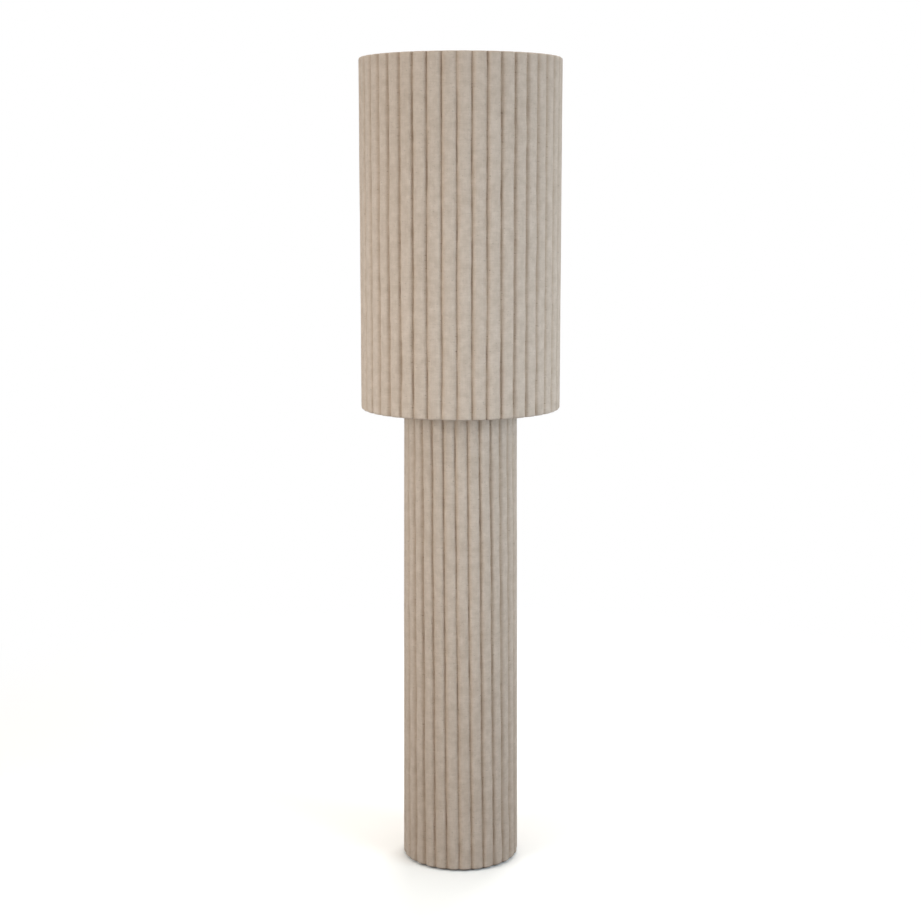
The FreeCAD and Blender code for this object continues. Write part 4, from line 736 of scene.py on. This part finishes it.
gland_low, gland_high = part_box("cord_gland")
inlet_height = (gland_low.z + gland_high.z) / 2
flange_radius = (gland_high.x - gland_low.x) / 2
pressed_level = reach("column_core", gland_low.z, gland_high.z) + PRESSED_PADDING
round_inlet = {
    "height": inlet_height,
    "level": pressed_level,
    "inner": flange_radius,
    "outer": flange_radius + DIMPLE_EASE,
}
column_cover = make_cover(
    "column_linen_cover", "column_cover", COLUMN_RIBS,
    (COLUMN_CHANNEL_AT_FOOT, COLUMN_CHANNEL_AT_TOP), COLUMN_SEED, round_inlet,
)
carved(column_cover, rods(
    "inlet_cutter", [((0, gland_low.y, inlet_height), (0, gland_high.y + 2 * CUT_OVERRUN, inlet_height))],
    flange_radius + INLET_GAP, 64,
))
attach(column_cover, "column")


# ---------------------------------------------------------------- hems and felt


def make_hem(name, node, at_top, arms=()):
    """The cloth turned in over one of the shade's wire rings, with a little slack at its free edge.

    arms holds the lines of the wire arms that it is slit for.
    """
    low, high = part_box(node)
    outer = high.x - CLOTH_THICKNESS / 2
    inner = reach(node, low.z, high.z, min) + CLOTH_THICKNESS / 2
    fold = (high.z if at_top else low.z)
    edge = (low.z if at_top else high.z)
    down = -1 if at_top else 1
    level = fold + down * CLOTH_THICKNESS / 2
    centre = (inner + HEM_ROUND, level + down * HEM_ROUND)
    bend = quarter(centre, (HEM_ROUND, -down * HEM_ROUND), 90, HEM_BEND_STEPS)
    leg_end = edge - down * CLOTH_THICKNESS / 2
    legs = 5
    leg = [(inner, bend[-1][1] + (leg_end - bend[-1][1]) * step / legs) for step in range(1, legs + 1)]
    profile = [(outer, level)] + bend + leg
    bm = lathe(profile, HEM_STEPS, closed=False)
    uv = bm.loops.layers.uv.new("cloth")
    for vert in bm.verts:
        angle = math.atan2(vert.co.y, vert.co.x)
        free = abs(vert.co.z - fold) / abs(edge - fold)
        around = Vector((math.cos(angle) * HEM_WAVES, math.sin(angle) * HEM_WAVES, fold))
        slack = 0.5 * (noise.noise(around) + 0.6)
        radius = vert.co.xy.length
        vert.co.xy *= (radius - HEM_SLACK * free * free * max(slack, 0.0)) / radius
    for face in bm.faces:
        angles = [math.atan2(loop.vert.co.y, loop.vert.co.x) for loop in face.loops]
        crosses = max(angles) - min(angles) > math.pi
        for loop, angle in zip(face.loops, angles):
            if crosses and angle < 0:
                angle += TURN
            along = abs(loop.vert.co.z - fold) + outer - loop.vert.co.xy.length
            loop[uv].uv = (angle * inner, along)
    bmesh.ops.recalc_face_normals(bm, faces=bm.faces)
    bmesh.ops.solidify(bm, geom=bm.faces[:], thickness=CLOTH_THICKNESS)
    hem = finished(name, bm, "linen_tape")
    if arms:
        carved(hem, rods(name + "_cutter", arms, wire_radius + ARM_SLOT_GAP, 24))
    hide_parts(node)
    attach(hem, "shade")


ring_low, ring_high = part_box("shade_bottom_ring")
wire_radius = (ring_high.z - ring_low.z) / 2
ring_circle = ring_high.x - wire_radius
ring_level = (ring_high.z + ring_low.z) / 2
hub_low, hub_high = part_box("spider_ring")
hub_level = (hub_low.z + hub_high.z) / 2
arm_end = Vector((ring_circle, 0, ring_level))
slope = (arm_end - Vector((ARM_ELBOW, 0, hub_level))).normalized()
arm_lines = []
for arm_angle in (90, 210, 330):
    turn = Matrix.Rotation(math.radians(arm_angle), 3, "Z")
    inward = arm_end - slope * ARM_SLOT_LENGTH[0]
    outward = arm_end + slope * ARM_SLOT_LENGTH[1]
    arm_lines.append((turn @ inward, turn @ outward))
make_hem("shade_top_hem", "top_hem", True)
make_hem("shade_bottom_hem", "bottom_hem", False, arm_lines)


def make_felt():
    """The felt disc under the column, with its cut edge rounded and holes for the foot screws."""
    low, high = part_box("base_felt")
    radius = high.x
    bm = bmesh.new()
    bmesh.ops.create_cone(
        bm, cap_ends=True, segments=FELT_STEPS, radius1=radius, radius2=radius, depth=high.z - low.z,
        matrix=Matrix.Translation((0, 0, (low.z + high.z) / 2)),
    )
    rims = [edge for edge in bm.edges if abs(edge.verts[0].co.z - edge.verts[1].co.z) < 1e-6]
    bmesh.ops.bevel(bm, geom=rims, offset=FELT_EDGE, affect="EDGES", segments=2, profile=0.5, material=-1)
    disc = finished("foot_felt", bm, "felt", smooth=False)
    screws = [corner.co.x for corner in frame["nodes"]["foot_screws"].data.vertices if corner.co.x > 0]
    across = (min(screws) + max(screws)) / 2
    felt_corners = frame["nodes"]["base_felt"].data.vertices
    hole = min((corner.co.xy - Vector((across, across))).length for corner in felt_corners)
    lines = []
    for x in (-across, across):
        for y in (-across, across):
            lines.append(((x, y, low.z - CUT_OVERRUN), (x, y, high.z + CUT_OVERRUN)))
    carved(disc, rods("felt_cutter", lines, hole, 24))
    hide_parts("base_felt")
    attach(disc, "column")


make_felt()


# ---------------------------------------------------------------- lampholder thread


def cut_thread(bm, crest, low, high):
    """Cut a round right-handed thread into a lathed wall between two heights, fading in at both ends."""
    fade = THREAD_PITCH * THREAD_FADE
    for vert in bm.verts:
        radius = vert.co.xy.length
        share = min((vert.co.z - low) / fade, (high - vert.co.z) / fade, 1.0)
        if radius < crest - THREAD_MARGIN or share <= 0:
            continue
        wave = math.cos(TURN * vert.co.z / THREAD_PITCH - math.atan2(vert.co.y, vert.co.x))
        vert.co.xy *= (radius - share * THREAD_DEPTH * (0.5 - 0.5 * wave)) / radius


def make_holder_skirt():
    """The lampholder's skirt, with the flange that carries the shade and the thread of the clamp ring."""
    low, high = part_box("holder_skirt")
    bore = reach("holder_skirt", low.z, high.z, min)
    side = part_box("holder_cap")[1].y
    flange_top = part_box("spider_ring")[0].z - FLANGE_GAP
    flange_low = flange_top - FLANGE_THICKNESS
    crest = side - SKIRT_STEP
    edge = SKIRT_EDGE
    profile = [(bore, low.z), (side - edge, low.z), (side, low.z + edge), (side, flange_low)]
    profile += [(high.x - edge, flange_low), (high.x, flange_low + edge), (high.x, flange_top - edge)]
    profile += [(high.x - edge, flange_top), (crest, flange_top)]
    first, last = flange_top + edge, high.z - 2 * edge
    rows = round((last - first) / (THREAD_PITCH / THREAD_ROWS))
    profile += [(crest, first + (last - first) * row / rows) for row in range(rows + 1)]
    profile += [(crest - 2 * edge, high.z), (bore, high.z)]
    bm = lathe(profile, THREAD_STEPS)
    cut_thread(bm, crest, flange_top + 2 * edge, high.z - edge)
    skirt = finished("lampholder_skirt", bm, "black_plastic")
    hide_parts("holder_skirt")
    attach(skirt, "column")


make_holder_skirt()


# ---------------------------------------------------------------- room, light and camera


def seen_rays(tree):
    """1 for the rays that show a thing to the eye, straight, in gloss or through glass, and 0 for light."""
    path = tree.nodes.new("ShaderNodeLightPath")
    seen = maths(tree, "MAXIMUM", path.outputs["Is Camera Ray"], path.outputs["Is Glossy Ray"])
    return maths(tree, "MAXIMUM", seen, path.outputs["Is Transmission Ray"])


def mixed_into(tree, share, first, second, socket):
    """Mix two shaders into a socket."""
    mix = tree.nodes.new("ShaderNodeMixShader")
    feed(tree, share, mix.inputs[0])
    tree.links.new(first.outputs[0], mix.inputs[1])
    tree.links.new(second.outputs[0], mix.inputs[2])
    tree.links.new(mix.outputs[0], socket)


def make_floor():
    """A plain pale floor that runs out into the white of the world."""
    bm = bmesh.new()
    bmesh.ops.create_grid(bm, x_segments=1, y_segments=1, size=FLOOR_REACH)
    mesh = bpy.data.meshes.new("floor")
    bm.to_mesh(mesh)
    bm.free()
    floor = bpy.data.objects.new("floor", mesh)
    bpy.context.scene.collection.objects.link(floor)
    made, tree, shader, where = started("pale_floor", 0.9)
    shader.inputs["Specular IOR Level"].default_value = 0.0
    seen = seen_rays(tree)
    feed(tree, blended(tree, seen, FLOOR_LIT, FLOOR_SEEN), shader.inputs["Base Color"])
    white = tree.nodes.new("ShaderNodeEmission")
    white.inputs["Color"].default_value = WHITE
    across, along, _ = split(tree, where.outputs["Object"])
    away = maths(tree, "SQRT", maths(tree, "ADD", maths(tree, "MULTIPLY", across, across),
                                     maths(tree, "MULTIPLY", along, along)))
    fade = maths(tree, "MULTIPLY", ramped(tree, away, *FLOOR_FADE), seen)
    mixed_into(tree, fade, shader, white, tree.nodes["Material Output"].inputs["Surface"])
    mesh.materials.append(made)


def make_world():
    """Even light from all round, seen as plain white."""
    world = bpy.data.worlds.new("studio")
    bpy.context.scene.world = world
    world.use_nodes = True
    tree = world.node_tree
    ambient = tree.nodes["Background"]
    ambient.inputs["Color"].default_value = AMBIENT_COLOUR
    ambient.inputs["Strength"].default_value = AMBIENT
    shown = tree.nodes.new("ShaderNodeBackground")
    shown.inputs["Color"].default_value = WHITE
    mixed_into(tree, seen_rays(tree), ambient, shown, tree.nodes["World Output"].inputs["Surface"])


def add_lamp(name, place, aim, size, power, colour):
    """A soft square lamp aimed at a point."""
    light = bpy.data.lights.new(name, "AREA")
    light.shape = "SQUARE"
    light.size = size
    light.energy = power
    light.color = colour
    lamp = bpy.data.objects.new(name, light)
    bpy.context.scene.collection.objects.link(lamp)
    lamp.visible_camera = False
    lamp.location = place
    lamp.rotation_mode = "QUATERNION"
    lamp.rotation_quaternion = (Vector(aim) - Vector(place)).to_track_quat("-Z", "Y")


make_floor()
make_world()
for lamp_settings in LAMPS:
    add_lamp(*lamp_settings)

lens = bpy.data.cameras.new("camera")
lens.sensor_width = 36.0
lens.lens = lens.sensor_width * FOCAL_LENGTH / IMAGE_SIZE
camera = bpy.data.objects.new("camera", lens)
bpy.context.scene.collection.objects.link(camera)
camera.location = CAMERA_PLACE
camera.rotation_euler = (math.radians(90 - CAMERA_TILT), 0, 0)
bpy.context.scene.camera = camera
bpy.context.scene.view_settings.view_transform = "Standard"
